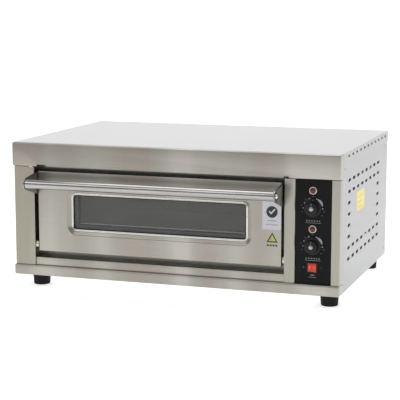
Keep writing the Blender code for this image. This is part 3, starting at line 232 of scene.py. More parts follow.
def brushed(name, grain, colours, roughness=(0.26, 0.38)):
    """Stainless sheet: fine lines one way, and soft upright bands of warm and cool grey that are painted
    reflections of the studio around it.
    """
    mat, shader = surface(name, colours[0], roughness[0], 1.0)
    # the upright warm, cool and pale bands in the base colour are painted reflections
    tint(mat, shader, noise(mat, 1.0, (7.0, 7.0, 0.9), 1.5), colours, (0.38, 0.62))
    lines = noise(mat, 1.0, grain, 4.0)
    vary(mat, shader, lines, *roughness)
    relief(mat, shader, lines, 0.12, 0.00005)
    return mat


def grained(name, colours, roughness, metallic, scale, bump, stretch=(1, 1, 1), **fixed):
    """A finish whose colour, gloss and relief follow one grain."""
    mat, shader = surface(name, colours[0], roughness[0], metallic, **fixed)
    grain = noise(mat, scale, stretch)
    tint(mat, shader, grain, colours)
    vary(mat, shader, grain, *roughness)
    relief(mat, shader, grain, *bump)
    return mat


def glass(name, colours, alpha, smear):
    """Clear sheet glass with a faint grey cast and wiping marks."""
    mat, shader = surface(name, colours[0], 0.04, 0.0, Alpha=alpha, IOR=1.5)
    marks = noise(mat, 14.0, (1, 1, 2.5))
    tint(mat, shader, marks, colours)
    vary(mat, shader, marks, 0.03, smear)
    return mat


ALONG_X = (10, 10, 1600)
ALONG_Z = (1600, 1600, 10)
# band colours of the stainless finishes: painted reflections of the surroundings, over real brushing lines
REFLECTION_WARM, REFLECTION_COOL, REFLECTION_PALE = (0.370, 0.338, 0.300), (0.400, 0.388, 0.342), (0.490, 0.470, 0.428)
SHEET_X = brushed("stainless_brushed_along", ALONG_X, (REFLECTION_WARM, REFLECTION_COOL, REFLECTION_PALE))
SHEET_Z = brushed("stainless_brushed_upright", ALONG_Z, ((0.360, 0.330, 0.275), (0.380, 0.370, 0.315),
                                                         (0.420, 0.400, 0.360)))
EAR_STEEL = brushed("stainless_ear", ALONG_X, ((0.30, 0.285, 0.275), (0.36, 0.35, 0.335)), (0.22, 0.34))
# streaks along X in the base colour: polishing lines, and partly painted reflection streaks of the
# surroundings
POLISHED = grained("polished_steel", ((0.30, 0.295, 0.285), (0.50, 0.49, 0.475)), (0.13, 0.20), 1.0,
                   1.0, (0.05, 0.00002), (4, 420, 420))
TRIM_STEEL = grained("bright_trim_steel", ((0.66, 0.65, 0.62), (0.76, 0.75, 0.72)), (0.08, 0.14), 1.0,
                     300, (0.04, 0.00002))
CHROME = grained("bright_chrome", ((0.78, 0.78, 0.78), (0.86, 0.86, 0.85)), (0.06, 0.12), 1.0,
                 300, (0.04, 0.00002))
PAINT = grained("pale_grey_powder_coat", ((0.70, 0.70, 0.71), (0.73, 0.73, 0.74)), (0.36, 0.46), 0.0,
                700, (0.10, 0.00008))
# darker copy of the pale grey paint for faces turned to the sides: painted shade, as the paint itself is the
# same
SHADED_SIDE_PAINT = grained("pale_grey_paint_painted_shade", ((0.555, 0.557, 0.565), (0.585, 0.587, 0.595)), (0.36, 0.46),
                     0.0, 700, (0.10, 0.00008), Specular_IOR_Level=0.35)
BLACK = grained("black_enamel", ((0.0040, 0.0048, 0.0048), (0.0070, 0.0080, 0.0080)), (0.34, 0.46), 0.0,
                900, (0.10, 0.00006), Specular_IOR_Level=0.14)
PLASTIC = grained("black_moulding", ((0.007, 0.007, 0.008), (0.013, 0.013, 0.015)), (0.30, 0.44), 0.0,
                  800, (0.12, 0.00006), Specular_IOR_Level=0.28)
RUBBER = grained("foot_rubber", ((0.004, 0.004, 0.004), (0.010, 0.010, 0.0095)), (0.62, 0.82), 0.0,
                 400, (0.25, 0.0001), Specular_IOR_Level=0.25)
RED = grained("red_moulding", ((0.60, 0.028, 0.016), (0.72, 0.050, 0.026)), (0.22, 0.34), 0.0,
              300, (0.05, 0.00004), Coat_Weight=0.2)
LENS = grained("lamp_lens", ((0.050, 0.004, 0.004), (0.120, 0.010, 0.010)), (0.10, 0.18), 0.0,
               260, (0.30, 0.0002), Coat_Weight=0.4)
BEZEL = grained("lamp_bezel", ((0.72, 0.60, 0.57), (0.80, 0.68, 0.65)), (0.22, 0.34), 0.6,
                500, (0.06, 0.00004))
LINING = grained("aluminised_sheet", ((0.34, 0.34, 0.33), (0.44, 0.43, 0.41)), (0.32, 0.50), 1.0,
                 60, (0.10, 0.00005), (1, 1, 3))
# galvanised sheet made near-black for the partition seen through the side slots: its darkness is painted
# shade
SHADED_BARE_SHEET = grained("galvanised_sheet_painted_shade", ((0.075, 0.077, 0.080), (0.115, 0.117, 0.120)), (0.45, 0.65),
                     0.6, 25, (0.08, 0.00004))
DECK = grained("baked_deck_plate", ((0.10, 0.095, 0.09), (0.20, 0.18, 0.16)), (0.45, 0.70), 0.9,
               22, (0.20, 0.0001))
SHEATH = grained("element_sheath", ((0.10, 0.105, 0.10), (0.17, 0.17, 0.16)), (0.40, 0.62), 0.8,
                 120, (0.20, 0.00008))
WOOL = grained("mineral_wool", ((0.16, 0.14, 0.10), (0.26, 0.23, 0.17)), (0.90, 1.0), 0.0,
               260, (0.9, 0.0012), (1, 1, 4))
ZINC = grained("zinc_plate", ((0.50, 0.50, 0.52), (0.62, 0.61, 0.58)), (0.26, 0.42), 1.0,
               180, (0.08, 0.00005))
BRASS = grained("nickelled_bush", ((0.66, 0.62, 0.52), (0.76, 0.73, 0.64)), (0.18, 0.30), 1.0,
                150, (0.06, 0.00004))
CERAMIC = grained("glazed_ceramic", ((0.80, 0.78, 0.72), (0.86, 0.84, 0.79)), (0.20, 0.32), 0.0,
                  90, (0.06, 0.0001))
WINDOW = glass("window_glass", ((0.150, 0.156, 0.146), (0.172, 0.178, 0.166)), 0.26, 0.07)
INNER_WINDOW = glass("inner_window_glass", ((0.125, 0.125, 0.118), (0.145, 0.145, 0.138)), 0.60, 0.09)
LAMP_GLASS = glass("lamp_glass", ((0.62, 0.62, 0.60), (0.68, 0.68, 0.66)), 0.30, 0.10)
PRINT = grained("white_print", ((0.62, 0.63, 0.66), (0.72, 0.73, 0.76)), (0.45, 0.6), 0.0,
                900, (0.2, 0.00003))
DIM_PRINT = grained("grey_print", ((0.17, 0.175, 0.19), (0.25, 0.255, 0.27)), (0.45, 0.6), 0.0,
                    900, (0.2, 0.00003))
BAND_PRINT = grained("lilac_print", ((0.36, 0.37, 0.46), (0.46, 0.47, 0.56)), (0.45, 0.6), 0.0,
                     900, (0.2, 0.00003))
FRAME_GREY = grained("painted_inner_frame", ((0.24, 0.25, 0.25), (0.29, 0.30, 0.30)), (0.35, 0.50), 0.0,
                     300, (0.05, 0.00005))
LEDGE = grained("anodised_ledge", ((0.74, 0.75, 0.74), (0.82, 0.82, 0.81)), (0.30, 0.42), 0.0,
                220, (0.04, 0.00003), (1, 8, 8))
SEAL = grained("window_seal", ((0.004, 0.004, 0.004), (0.008, 0.008, 0.008)), (0.6, 0.8), 0.0, 500,
               (0.2, 0.00005), Specular_IOR_Level=0.15)


def rope_finish():
    """Braided glass fibre."""
    mat, shader = surface("braided_rope", (0.60, 0.58, 0.52), 0.9)
    cells = noise(mat, 620, (1, 1, 1), kind="ShaderNodeTexVoronoi")
    tint(mat, shader, cells, ((0.40, 0.38, 0.33), (0.68, 0.66, 0.60)), (0.1, 0.6))
    relief(mat, shader, cells, 0.8, 0.0006)
    return mat


def sticker_finish(name, colours):
    """Smooth printed film."""
    return grained(name, colours, (0.30, 0.42), 0.0, 160, (0.04, 0.00003))


ROPE = rope_finish()


# ---------------------------------------------------------------- modelling steps

def angles(steps, start=0.0, end=math.pi / 2):
    """Even angles from start to end, both included; a quarter turn if no more is said."""
    return [start + (end - start) * k / steps for k in range(steps + 1)]


def placed(name, bm):
    """An object in the scene, made of a bmesh that is then freed."""
    mesh = bpy.data.meshes.new(name)
    bm.to_mesh(mesh)
    bm.free()
    obj = bpy.data.objects.new(name, mesh)
    bpy.context.scene.collection.objects.link(obj)
    return obj


def evaluated(obj):
    """The mesh that an object comes to, with its modifiers or as a curve."""
    bpy.context.view_layer.update()
    return bpy.data.meshes.new_from_object(obj.evaluated_get(bpy.context.evaluated_depsgraph_get()))


def from_curve(curve, turn):
    """A bmesh of a curve's or a text's surface, moved by a matrix."""
    obj = bpy.data.objects.new(curve.name + "_line", curve)
    bpy.context.scene.collection.objects.link(obj)
    mesh = evaluated(obj)
    bpy.data.objects.remove(obj)
    bm = bmesh.new()
    bm.from_mesh(mesh)
    bpy.data.meshes.remove(mesh)
    bmesh.ops.transform(bm, matrix=turn, verts=bm.verts)
    bmesh.ops.remove_doubles(bm, verts=bm.verts, dist=1e-7)
    return bm


def pull(bm, made, by):
    """Move the points that an extrusion made."""
    bmesh.ops.translate(bm, vec=by, verts=[e for e in made["geom"] if isinstance(e, bmesh.types.BMVert)])


def strip(bm, spots, by):
    """Draw a line of points out into a strip of faces."""
    verts = [bm.verts.new(spot) for spot in spots]
    edges = [bm.edges.new(pair) for pair in zip(verts, verts[1:])]
    pull(bm, bmesh.ops.extrude_edge_only(bm, edges=edges), by)


def raised(bm, spots, by):
    """Draw an outline of points out into a solid."""
    face = bm.faces.new([bm.verts.new(spot) for spot in spots])
    pull(bm, bmesh.ops.extrude_face_region(bm, geom=[face]), by)
    bmesh.ops.recalc_face_normals(bm, faces=bm.faces)


def rod(low, high, radius, edge, inner=0.0):
    """Profile of a rod or a tube between two ends, with its end edges broken."""
    return [(inner, low), (radius - edge, low), (radius, low + edge), (radius, high - edge),
            (radius - edge, high), (inner, high)]


def block(bm, low, high):
    """A block between two corners."""
    low, high = Vector(low), Vector(high)
    size = Matrix.Diagonal((*(high - low), 1.0))
    bmesh.ops.create_cube(bm, size=1.0, matrix=Matrix.Translation((low + high) / 2) @ size)


def round_edges(bm, radius, segments=FOLD_STEPS, edges=None):
    """Round the given edges, or every edge that turns a corner."""
    if edges is None:
        edges = [e for e in bm.edges if len(e.link_faces) == 2 and e.calc_face_angle() > SMOOTH]
    bmesh.ops.bevel(bm, geom=edges, offset=radius, offset_type="OFFSET", affect="EDGES",
                    segments=segments, profile=0.5, material=-1, clamp_overlap=True)


def drop_faces(bm, unwanted):
    """Delete the faces that a test picks."""
    bmesh.ops.delete(bm, geom=[f for f in bm.faces if unwanted(f)], context="FACES")


def split_at(bm, axis, where):
    """Cut every face along a plane across an axis."""
    normal = [0, 0, 0]
    normal["XYZ".index(axis)] = 1
    point = [where * n for n in normal]
    bmesh.ops.bisect_plane(bm, geom=bm.verts[:] + bm.edges[:] + bm.faces[:], plane_co=point,
                           plane_no=normal, dist=1e-7)


def spun(bm, profile, centre, axis, steps=48, closed=False):
    """Turn (radius, place along the axis) points round an axis. Closed joins the last to the first."""
    turn = {"X": Matrix.Rotation(math.radians(90), 3, "Y"), "Y": Matrix.Rotation(math.radians(-90), 3, "X"),
            "Z": Matrix.Identity(3)}[axis]
    centre = Vector(centre)
    verts = [bm.verts.new(centre + turn @ Vector((r, 0, d))) for r, d in profile]
    edges = [bm.edges.new(pair) for pair in zip(verts, verts[1:])]
    if closed:
        edges.append(bm.edges.new((verts[-1], verts[0])))
    bmesh.ops.spin(bm, geom=verts + edges, cent=centre, axis=turn @ Vector((0, 0, 1)),
                   angle=2 * math.pi, steps=steps, use_merge=True, use_duplicate=False)
    bmesh.ops.remove_doubles(bm, verts=bm.verts, dist=1e-6)
    bmesh.ops.recalc_face_normals(bm, faces=bm.faces)


def ring(bm, low, high, radius, depth):
    """The points of an upright rounded rectangle, between two (X, Z) corners."""
    centres = ((high[0] - radius, high[1] - radius), (low[0] + radius, high[1] - radius),
               (low[0] + radius, low[1] + radius), (high[0] - radius, low[1] + radius))
    verts = []
    for quarter, (x, z) in enumerate(centres):
        for step in range(CORNER_STEPS + 1):
            angle = math.radians(90) * (quarter + step / CORNER_STEPS)
            verts.append(bm.verts.new((x + radius * math.cos(angle), depth, z + radius * math.sin(angle))))
    return verts


def join_rings(bm, rings, closed=False):
    """Join a row of rings of equal count, point to point, so that no corner is skipped or capped."""
    pairs = list(zip(rings, rings[1:]))
    if closed:
        pairs.append((rings[-1], rings[0]))
    for a, b in pairs:
        for i in range(len(a)):
            bm.faces.new((a[i - 1], a[i], b[i], b[i - 1]))
    bmesh.ops.recalc_face_normals(bm, faces=bm.faces)


def grown(box, by):
    """A box of two (X, Z) corners, grown by a margin."""
    (left, low), (right, high) = box
    return (left - by, low - by), (right + by, high + by)


def skinned(bm, box, sections, closed=False):
    """Skin rings round a box, each given as (margin, corner radius, depth)."""
    rings = [ring(bm, *grown(box, margin), radius, depth) for margin, radius, depth in sections]
    join_rings(bm, rings, closed)


def piece(bm, name, mat, body, stands_for=(), thickness=0.0, drill=None):
    """Make a bmesh a finished piece. A thickness makes a sheet of it, inwards; drill cuts holes."""
    obj = placed(name, bm)
    cutter = None
    if thickness:
        wall = obj.modifiers.new("sheet", "SOLIDIFY")
        wall.thickness = thickness
        wall.offset = -1.0
    if drill:
        cutter_bm = bmesh.new()
        drill(cutter_bm)
        cutter = placed(name + "_holes", cutter_bm)
        holes = obj.modifiers.new("holes", "BOOLEAN")
        holes.operation = "DIFFERENCE"
        holes.solver = "EXACT"
        holes.object = cutter
    if obj.modifiers:
        made = evaluated(obj)
        obj.modifiers.clear()
        obj.data = made
    if cutter:
        bpy.data.objects.remove(cutter)
    obj.data.shade_smooth()
    obj.data.set_sharp_from_angle(angle=SMOOTH)
    obj.data.materials.clear()
    obj.data.materials.append(mat)
    if stands_for:
        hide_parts(*stands_for)
    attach(obj, body)
    return obj


def hole(bm, centre, axis, radius, depth=0.01):
    """A round cutter across a sheet."""
    turn = {"X": Matrix.Rotation(math.radians(90), 4, "Y"), "Y": Matrix.Rotation(math.radians(90), 4, "X"),
            "Z": Matrix.Identity(4)}[axis]
    bmesh.ops.create_cone(bm, cap_ends=True, segments=HOLE_STEPS, radius1=radius, radius2=radius,
                          depth=depth, matrix=Matrix.Translation(centre) @ turn)


def slot(bm, centre, size, depth=0.01):
    """A round-ended cutter across a side sheet."""
    radius = size[1] / 2
    reach = size[0] / 2 - radius
    spots = [Vector((-depth / 2, end * (reach + radius * math.cos(a)), end * radius * math.sin(a)))
             for end in (1, -1) for a in angles(HOLE_STEPS // 2, -math.pi / 2)]
    raised(bm, [Vector(centre) + spot for spot in spots], (depth, 0, 0))


def folded(bm, path, axis, low, high, radii):
    """Extrude a bent path along an axis, facing away from its middle, with a radius for each fold."""
    def spot(u, v, w):
        return {"X": (w, u, v), "Z": (u, v, w)}[axis]

    strip(bm, [spot(*point, low) for point in path], spot(0, 0, high - low))
    bmesh.ops.recalc_face_normals(bm, faces=bm.faces)
    middle = sum((v.co for v in bm.verts), Vector()) / len(bm.verts)
    facing = sum(f.normal.dot(f.calc_center_median() - middle) * f.calc_area() for f in bm.faces)
    if facing < 0:
        bmesh.ops.reverse_faces(bm, faces=bm.faces)
    for point, radius in zip(path[1:-1], radii):
        corner = Vector(spot(*point, low))
        folds = [e for e in bm.edges if len(e.link_faces) == 2
                 and any((v.co - corner).length < 1e-6 for v in e.verts)]
        round_edges(bm, radius, FOLD_STEPS + round(radius / 0.001), folds)


# ---------------------------------------------------------------- casing

def lid_slots(cutters, x):
    """Cutters for the row of slots under the lid's edge, through the sheet at x."""
    height = corners("top_cover")[1].z - LID_VENT_DROP
    for i in range(LID_VENT_COUNT):
        slot(cutters, (x, POST_FRONT + LID_VENT_START + i * LID_VENT_PITCH, height), LID_VENT_SIZE)


def lid():
    """Painted top cover: folded down at its sides and back, with a row of slots in each side."""
    low, high = corners("top_cover")
    fascia_back = corners("fascia")[1].y + GAP
    inside = high.x - FRONT_T - GAP
    bm = bmesh.new()
    block(bm, low, high)
    drop_faces(bm, lambda f: f.normal.z < -0.5 or f.normal.y < -0.5)
    round_edges(bm, FOLD_R)
    split_at(bm, "Y", fascia_back)
    for x in (-inside, inside):
        split_at(bm, "X", x)
    drop_faces(bm, lambda f: abs(f.calc_center_median().x) > inside
               and f.calc_center_median().y < fascia_back)

    def vents(cutters):
        for x in (low.x, high.x):
            lid_slots(cutters, x)

    cover = piece(bm, "lid_sheet", PAINT, "oven", ("top_cover",), CASE_T, vents)
    # the lid's side faces take the darker copy of the paint, as painted shade
    cover.data.materials.append(SHADED_SIDE_PAINT)
    for face in cover.data.polygons:
        if abs(face.normal.x) > 0.8:
            face.material_index = 1


def side_sheet(node):
    """Painted side sheet with its square of slots and the row behind the lid's."""
    low, high = corners(node)
    fascia_low, fascia_high = corners("fascia")
    outer = max(low.x, high.x, key=abs)
    bm = bmesh.new()
    block(bm, low, high)
    round_edges(bm, CASE_T / 3, 2)

    def cuts(cutters):
        block(cutters, (low.x - 0.01, low.y - 0.01, fascia_low.z - GAP),
              (high.x + 0.01, fascia_high.y + GAP, high.z + 0.01))
        edge_rows = (0, 1, VENT_COUNT - 2, VENT_COUNT - 1)
        for row in range(VENT_COUNT):
            for column in range(VENT_COUNT):
                if row in edge_rows or column in (0, VENT_COUNT - 1):
                    slot(cutters, (outer, POST_FRONT + VENT_START[0] + column * VENT_PITCH[0],
                                   VENT_START[1] + row * VENT_PITCH[1]), VENT_SIZE)
        lid_slots(cutters, outer)

    # the side sheet takes the darker copy of the paint, as painted shade
    piece(bm, node + "_sheet", SHADED_SIDE_PAINT, "oven", (node,), 0.0, cuts)


def head_panel():
    """Stainless fascia, folded back at its top, ends and lip, with two notches in the lip."""
    low, high = corners("fascia")
    top_back = corners("top_cover")[0].y - GAP
    lip, notch_h, over = 0.012, 0.006, 0.001
    lip_back = low.y + lip
    bm = bmesh.new()
    block(bm, low, high)
    split_at(bm, "Y", top_back)
    split_at(bm, "Y", lip_back)
    drop_faces(bm, lambda f: f.normal.y > 0.5
               or (f.normal.z > 0.5 and f.calc_center_median().y > top_back)
               or (f.normal.z < -0.5 and f.calc_center_median().y > lip_back))
    round_edges(bm, HEAD_R, 7)
    door_low = corners("door_skin")[0]
    post_low = corners("centre_post")[0]

    def notches(cutters):
        for x0, x1 in ((door_low.x + 0.002, door_low.x + 0.028), (post_low.x, post_low.x + 0.013)):
            block(cutters, (x0, low.y - over, low.z - over), (x1, lip_back + over, low.z + notch_h))

    piece(bm, "fascia_sheet", SHEET_X, "oven", ("fascia",), FRONT_T, notches)


def rail_and_posts():
    """Stainless base rail, the three posts and the sill under the door."""
    low, high = corners("base_rail")
    bm = bmesh.new()
    block(bm, low, high)
    drop_faces(bm, lambda f: f.normal.y > 0.5)
    round_edges(bm, HEAD_R, 7)
    piece(bm, "base_rail_sheet", SHEET_X, "oven", ("base_rail",), FRONT_T)

    post_side, post_edge, seam = 0.025, 0.012, 0.0014
    for node, left_reach, right_reach, radii in (
            ("left_post", post_side, None, (0.0035, FOLD_R)),
            ("centre_post", None, post_edge, (FOLD_R, 0.0080)),
            ("right_post", post_edge, post_side, (FOLD_R, 0.0040))):
        low, high = corners(node)
        left_y = high.y if left_reach is None else low.y + left_reach
        right_y = high.y if right_reach is None else low.y + right_reach
        path = [(low.x, left_y), (low.x, low.y), (high.x, low.y), (high.x, right_y)]
        bm = bmesh.new()
        folded(bm, path, "Z", low.z, high.z - seam, radii)
        bush = None
        if node != "right_post":
            hole_x = high.x if node == "left_post" else low.x

            def bush(cutters, x=hole_x):
                hole(cutters, (x, HINGE.y, HINGE.z), "X", BUSH_HOLE_R)

        piece(bm, node + "_sheet", SHEET_Z, "oven", (node,), FRONT_T, bush)

    low, high = corners("door_sill")
    bm = bmesh.new()
    folded(bm, [(low.y, low.z), (low.y, high.z), (high.y, high.z)], "X", low.x, high.x, (FOLD_R,))
    piece(bm, "sill_sheet", SHEET_X, "oven", ("door_sill",), FRONT_T)


def feet():
    """Tapered rubber feet with a recessed bolt hole."""
    bolt_r, recess_r, recess = 0.004, 0.0075, 0.010
    taper, sole_r = 0.003, 0.003
    band, band_step, band_slope, band_edge = 0.0045, 0.0008, 0.0010, 0.0006
    for side in ("front_left", "front_right", "rear_left", "rear_right"):
        node = "foot_" + side
        low, high = corners(node)
        centre = ((low.x + high.x) / 2, (low.y + high.y) / 2, 0)
        top_r = (high.x - low.x) / 2
        floor_r = top_r - taper
        profile = [(recess_r, recess), (recess_r, 0.0)]
        profile += [(floor_r - sole_r + sole_r * math.sin(a), sole_r - sole_r * math.cos(a))
                    for a in angles(5)]
        profile += [(top_r - band_step, high.z - band - band_slope), (top_r, high.z - band),
                    (top_r, high.z - band_edge), (top_r - band_edge, high.z),
                    (bolt_r, high.z), (bolt_r, recess)]
        bm = bmesh.new()
        spun(bm, profile, centre, "Z", 56, closed=True)
        piece(bm, side + "_rubber_foot", RUBBER, "oven", (node,))


def screw_head(bm, centre, axis, out, radius, rise=HEAD_RISE):
    """A domed head on a surface, facing out along the axis; rise is its height over its radius."""
    height = radius * rise
    profile = [(0.0, 0.0), (radius, 0.0)]
    profile += [(radius * math.cos(a), out * height * math.sin(a)) for a in angles(5, math.radians(15))[:-1]]
    profile.append((0.0, out * height))
    spun(bm, profile, centre, axis, 20)


def screws(name, spots, axis, out, radius, mat):
    """Cross-recessed screws on one surface of the casing, as one piece."""
    bm = bmesh.new()
    for spot in spots:
        screw_head(bm, spot, axis, out, radius)

    def crosses(cutters):
        """A plus-shaped cutter in each head, turned by quarters."""
        long, short, deep = radius * 0.62, radius * 0.13, radius * 0.25
        turn = Matrix.Rotation(math.radians(90), 3, "Y" if axis == "X" else "X")
        quarters = [Matrix.Rotation(math.radians(90 * k), 3, "Z") for k in range(4)]
        arm = [Vector((u, v, -deep)) for u, v in ((long, -short), (long, short), (short, short))]
        for spot in spots:
            top = Vector(spot)
            top["XYZ".index(axis)] += out * radius * HEAD_RISE
            raised(cutters, [top + turn @ (quarter @ point) for quarter in quarters for point in arm],
                   turn @ Vector((0, 0, 2 * deep)))

    piece(bm, name, mat, "oven", (), 0.0, crosses)


def casing_screws():
    """Painted screws near the corners of the side sheets and plated ones round the back sheet."""
    lid_low = corners("top_cover")[0].z
    inset, rear_inset, below_lid, side_r = 0.022, 0.028, 0.014, 0.0034
    for node, out in (("left_side_panel", -1), ("right_side_panel", 1)):
        low, high = corners(node)
        x = low.x if out < 0 else high.x
        spots = [(x, y, z) for y in (low.y + inset, high.y - rear_inset)
                 for z in (low.z + inset, lid_low - below_lid)]
        # side screws take the darker copy of the paint, as painted shade
        screws(node + "_screws", spots, "X", out, side_r, SHADED_SIDE_PAINT)
    low, high = corners("rear_panel")
    edge_inset, middle_x, foot_inset, top_z, back_r = 0.02, 0.15, 0.015, 0.355, 0.0036
    spots = [(x, high.y, z) for x in (low.x + edge_inset, -middle_x, middle_x, high.x - edge_inset)
             for z in (low.z + foot_inset, top_z)]
    screws("rear_panel_screws", spots, "Y", 1, back_r, ZINC)


# ---------------------------------------------------------------- door

def window_box():
    """Lowest and highest (X, Z) corner of the visible glass."""
    low, high = corners("window_trim")
    return (low.x + TRIM_W, low.z + TRIM_W), (high.x - TRIM_W, high.z - TRIM_W)


def door_front():
    """Outer door sheet: rounded folds, and a soft pressed slope down to the window."""
    low, high = corners("door_skin")
    flange = corners("window_trim")[1].y + GAP
    press = flange - low.y
    face = ((low.x, low.z), (high.x, high.z))
    fold, corner_r = 0.0016, 0.0010
    fold_sections = [(fold * (math.sin(a) - 1), corner_r, low.y + fold * (1 - math.cos(a)))
                     for a in angles(5)[::-1]]
    bm = bmesh.new()
    rings = [ring(bm, *face, corner_r, high.y)]
    rings += [ring(bm, *grown(face, by), radius, depth) for by, radius, depth in fold_sections]
    rings.append(ring(bm, *grown(face, -fold - FLAT_EDGE), corner_r, low.y))
    rings.append(ring(bm, *grown(window_box(), TRIM_W + PRESS_W + FLAT_EDGE), PRESS_R + FLAT_EDGE, low.y))
    shoulder, step_share = 0.12, 0.28
    shares = angles(6, 0.0, shoulder) + angles(12, shoulder, 1.0)[1:]
    for share in shares:
        edge = 0.5 - 0.5 * math.cos(math.pi * min(1.0, share / shoulder))
        slope = 0.5 - 0.5 * math.cos(math.pi * share)
        drop = press * (step_share * edge + (1 - step_share) * slope)
        radius = PRESS_R + (WINDOW_R + TRIM_W - PRESS_R) * share
        rings.append(ring(bm, *grown(window_box(), TRIM_W + PRESS_W * (1 - share)), radius, low.y + drop))
    rings.append(ring(bm, *window_box(), WINDOW_R, flange))
    join_rings(bm, rings)
    front = max(bm.faces, key=lambda f: f.calc_area() * abs(f.normal.y))
    if front.normal.y > 0:
        bmesh.ops.reverse_faces(bm, faces=bm.faces)

    def shaft_holes(cutters):
        for x in (low.x, high.x):
            hole(cutters, (x, HINGE.y, HINGE.z), "X", SHAFT_HOLE_R)

    piece(bm, "door_front_sheet", SHEET_X, "door", ("door_skin",), DOOR_T, shaft_holes)


def window_frame():
    """Bright double-beaded trim and the dark seal inside it."""
    low, high = corners("window_trim")
    base, rise = high.y, high.y - low.y
    bead_w, edge_share, outer_share = TRIM_W / 2, 0.35, 0.80
    sections = [(TRIM_W, WINDOW_R + TRIM_W, base)]
    for start, top_share in ((TRIM_W, outer_share), (bead_w, 1.0)):
        for k in range(7):
            lift = edge_share + (top_share - edge_share) * math.sin(math.pi * k / 6)
            margin = start - bead_w * k / 6
            sections.append((margin, WINDOW_R + margin, base - rise * lift))
    sections.append((0.0, WINDOW_R, base))
    bm = bmesh.new()
    skinned(bm, window_box(), sections, closed=True)
    bmesh.ops.remove_doubles(bm, verts=bm.verts, dist=1e-6)
    piece(bm, "window_bead_trim", TRIM_STEEL, "door", ("window_trim",))

    glass_front = corners("window_outer_pane")[0].y
    seat, near, slope = glass_front - 0.0001, glass_front - 0.0009, 0.0002
    lip = ((GAP, seat), (GAP, near), (SEAL_W * 0.6, near - slope), (SEAL_W, near + slope), (SEAL_W, seat))
    bm = bmesh.new()
    skinned(bm, window_box(), [(-inset, WINDOW_R - inset, depth) for inset, depth in lip], closed=True)
    piece(bm, "window_seal_lip", SEAL, "door")


def between_panes():
    """What shows through the outer glass: a grey frame, a black strip of painted shade at its inner edge,
    and a ledge on the inner pane.
    """
    low, high = corners("window_spacer")
    seat = corners("window_inner_pane")[0].y - GAP
    inset, sheet, frame_r = 0.0063, 0.0010, 0.0020
    left_w, right_w, lower_w, upper_w = 0.0168, 0.0140, 0.0185, 0.0080
    shade_strip_w, shade_strip_side, shade_strip_top, bevel = 0.0070, 0.0018, 0.0026, 0.0012
    outside = grown(((low.x, low.z), (high.x, high.z)), -inset)
    (left, bottom), (right, top) = outside
    opening = ((left + left_w, bottom + lower_w), (right - right_w, top - upper_w))
    (open_left, open_low), (open_right, _) = opening
    bm = bmesh.new()
    rings = []
    for box, depth in ((grown(opening, shade_strip_w), seat), (grown(opening, shade_strip_w), seat - sheet),
                       (outside, seat - sheet), (outside, seat)):
        rings.append(ring(bm, *box, frame_r, depth))
    join_rings(bm, rings, closed=True)
    piece(bm, "inner_frame", FRAME_GREY, "door")

    # black strip round the frame's opening: painted shade where the frame's inner edge is in shadow
    bm = bmesh.new()
    sections = [(shade_strip_w - GAP, 0.0018, seat), (shade_strip_w - GAP, 0.0018, seat - shade_strip_side),
                (shade_strip_w - bevel, 0.0014, seat - shade_strip_top), (bevel, 0.0010, seat - shade_strip_top),
                (0.0, 0.0008, seat - shade_strip_side), (0.0, 0.0008, seat)]
    skinned(bm, opening, sections, closed=True)
    piece(bm, "inner_painted_shade_strip", SEAL, "door")

    ledge_out, ledge_low, ledge_high, ledge_r = 0.0062, 0.0012, 0.0014, 0.0008
    bm = bmesh.new()
    block(bm, (open_left + GAP, seat - ledge_out, open_low - ledge_low),
          (open_right - GAP, seat - shade_strip_top - 0.0001, open_low + ledge_high))
    round_edges(bm, ledge_r, 3)
    piece(bm, "inner_ledge", LEDGE, "door")


def handle():
    """Polished tube between two ear plates, with a cap nut at each end."""
    low, high = corners("handle_tube")
    axis_y, axis_z = (low.y + high.y) / 2, (low.z + high.z) / 2
    radius = (high.z - low.z) / 2
    wall, edge = 0.0012, 0.0004
    rim_r, nut_r, nut_rise = 0.0008, 0.0062, 0.85
    bm = bmesh.new()
    spun(bm, rod(low.x, high.x, radius, edge, radius - wall), (0, axis_y, axis_z), "X", 72, closed=True)
    piece(bm, "handle_bar", POLISHED, "door", ("handle_tube",))

    door_face = corners("door_skin")[0].y
    for node, out in (("left_handle_ear", -1), ("right_handle_ear", 1)):
        low, high = corners(node)
        nose = axis_y - low.y
        bm = bmesh.new()
        for x in (low.x, high.x):
            turn = Matrix.Translation((x, axis_y, axis_z)) @ Matrix.Rotation(math.radians(90), 4, "Y")
            bmesh.ops.create_circle(bm, cap_ends=False, radius=nose, segments=64, matrix=turn)
            for y, z in ((door_face, high.z), (high.y, high.z), (door_face, low.z), (high.y, low.z)):
                bm.verts.new((x, y, z))
        hull = bmesh.ops.convex_hull(bm, input=bm.verts[:])
        spare = [v for v in hull["geom_interior"] if isinstance(v, bmesh.types.BMVert)]
        bmesh.ops.delete(bm, geom=spare, context="VERTS")
        bmesh.ops.dissolve_limit(bm, angle_limit=math.radians(1), verts=bm.verts[:], edges=bm.edges[:])
        bmesh.ops.recalc_face_normals(bm, faces=bm.faces)
        rims = [e for e in bm.edges if len(e.link_faces) == 2 and e.calc_face_angle() > math.radians(60)
                and any(abs(f.normal.x) > 0.9 for f in e.link_faces)]
        round_edges(bm, rim_r, 3, rims)
        piece(bm, node + "_plate", EAR_STEEL, "door", (node,))
        face = low.x if out < 0 else high.x
        bm = bmesh.new()
        screw_head(bm, (face, axis_y, axis_z), "X", out, nut_r, nut_rise)
        piece(bm, node + "_cap_nut", CHROME, "door")


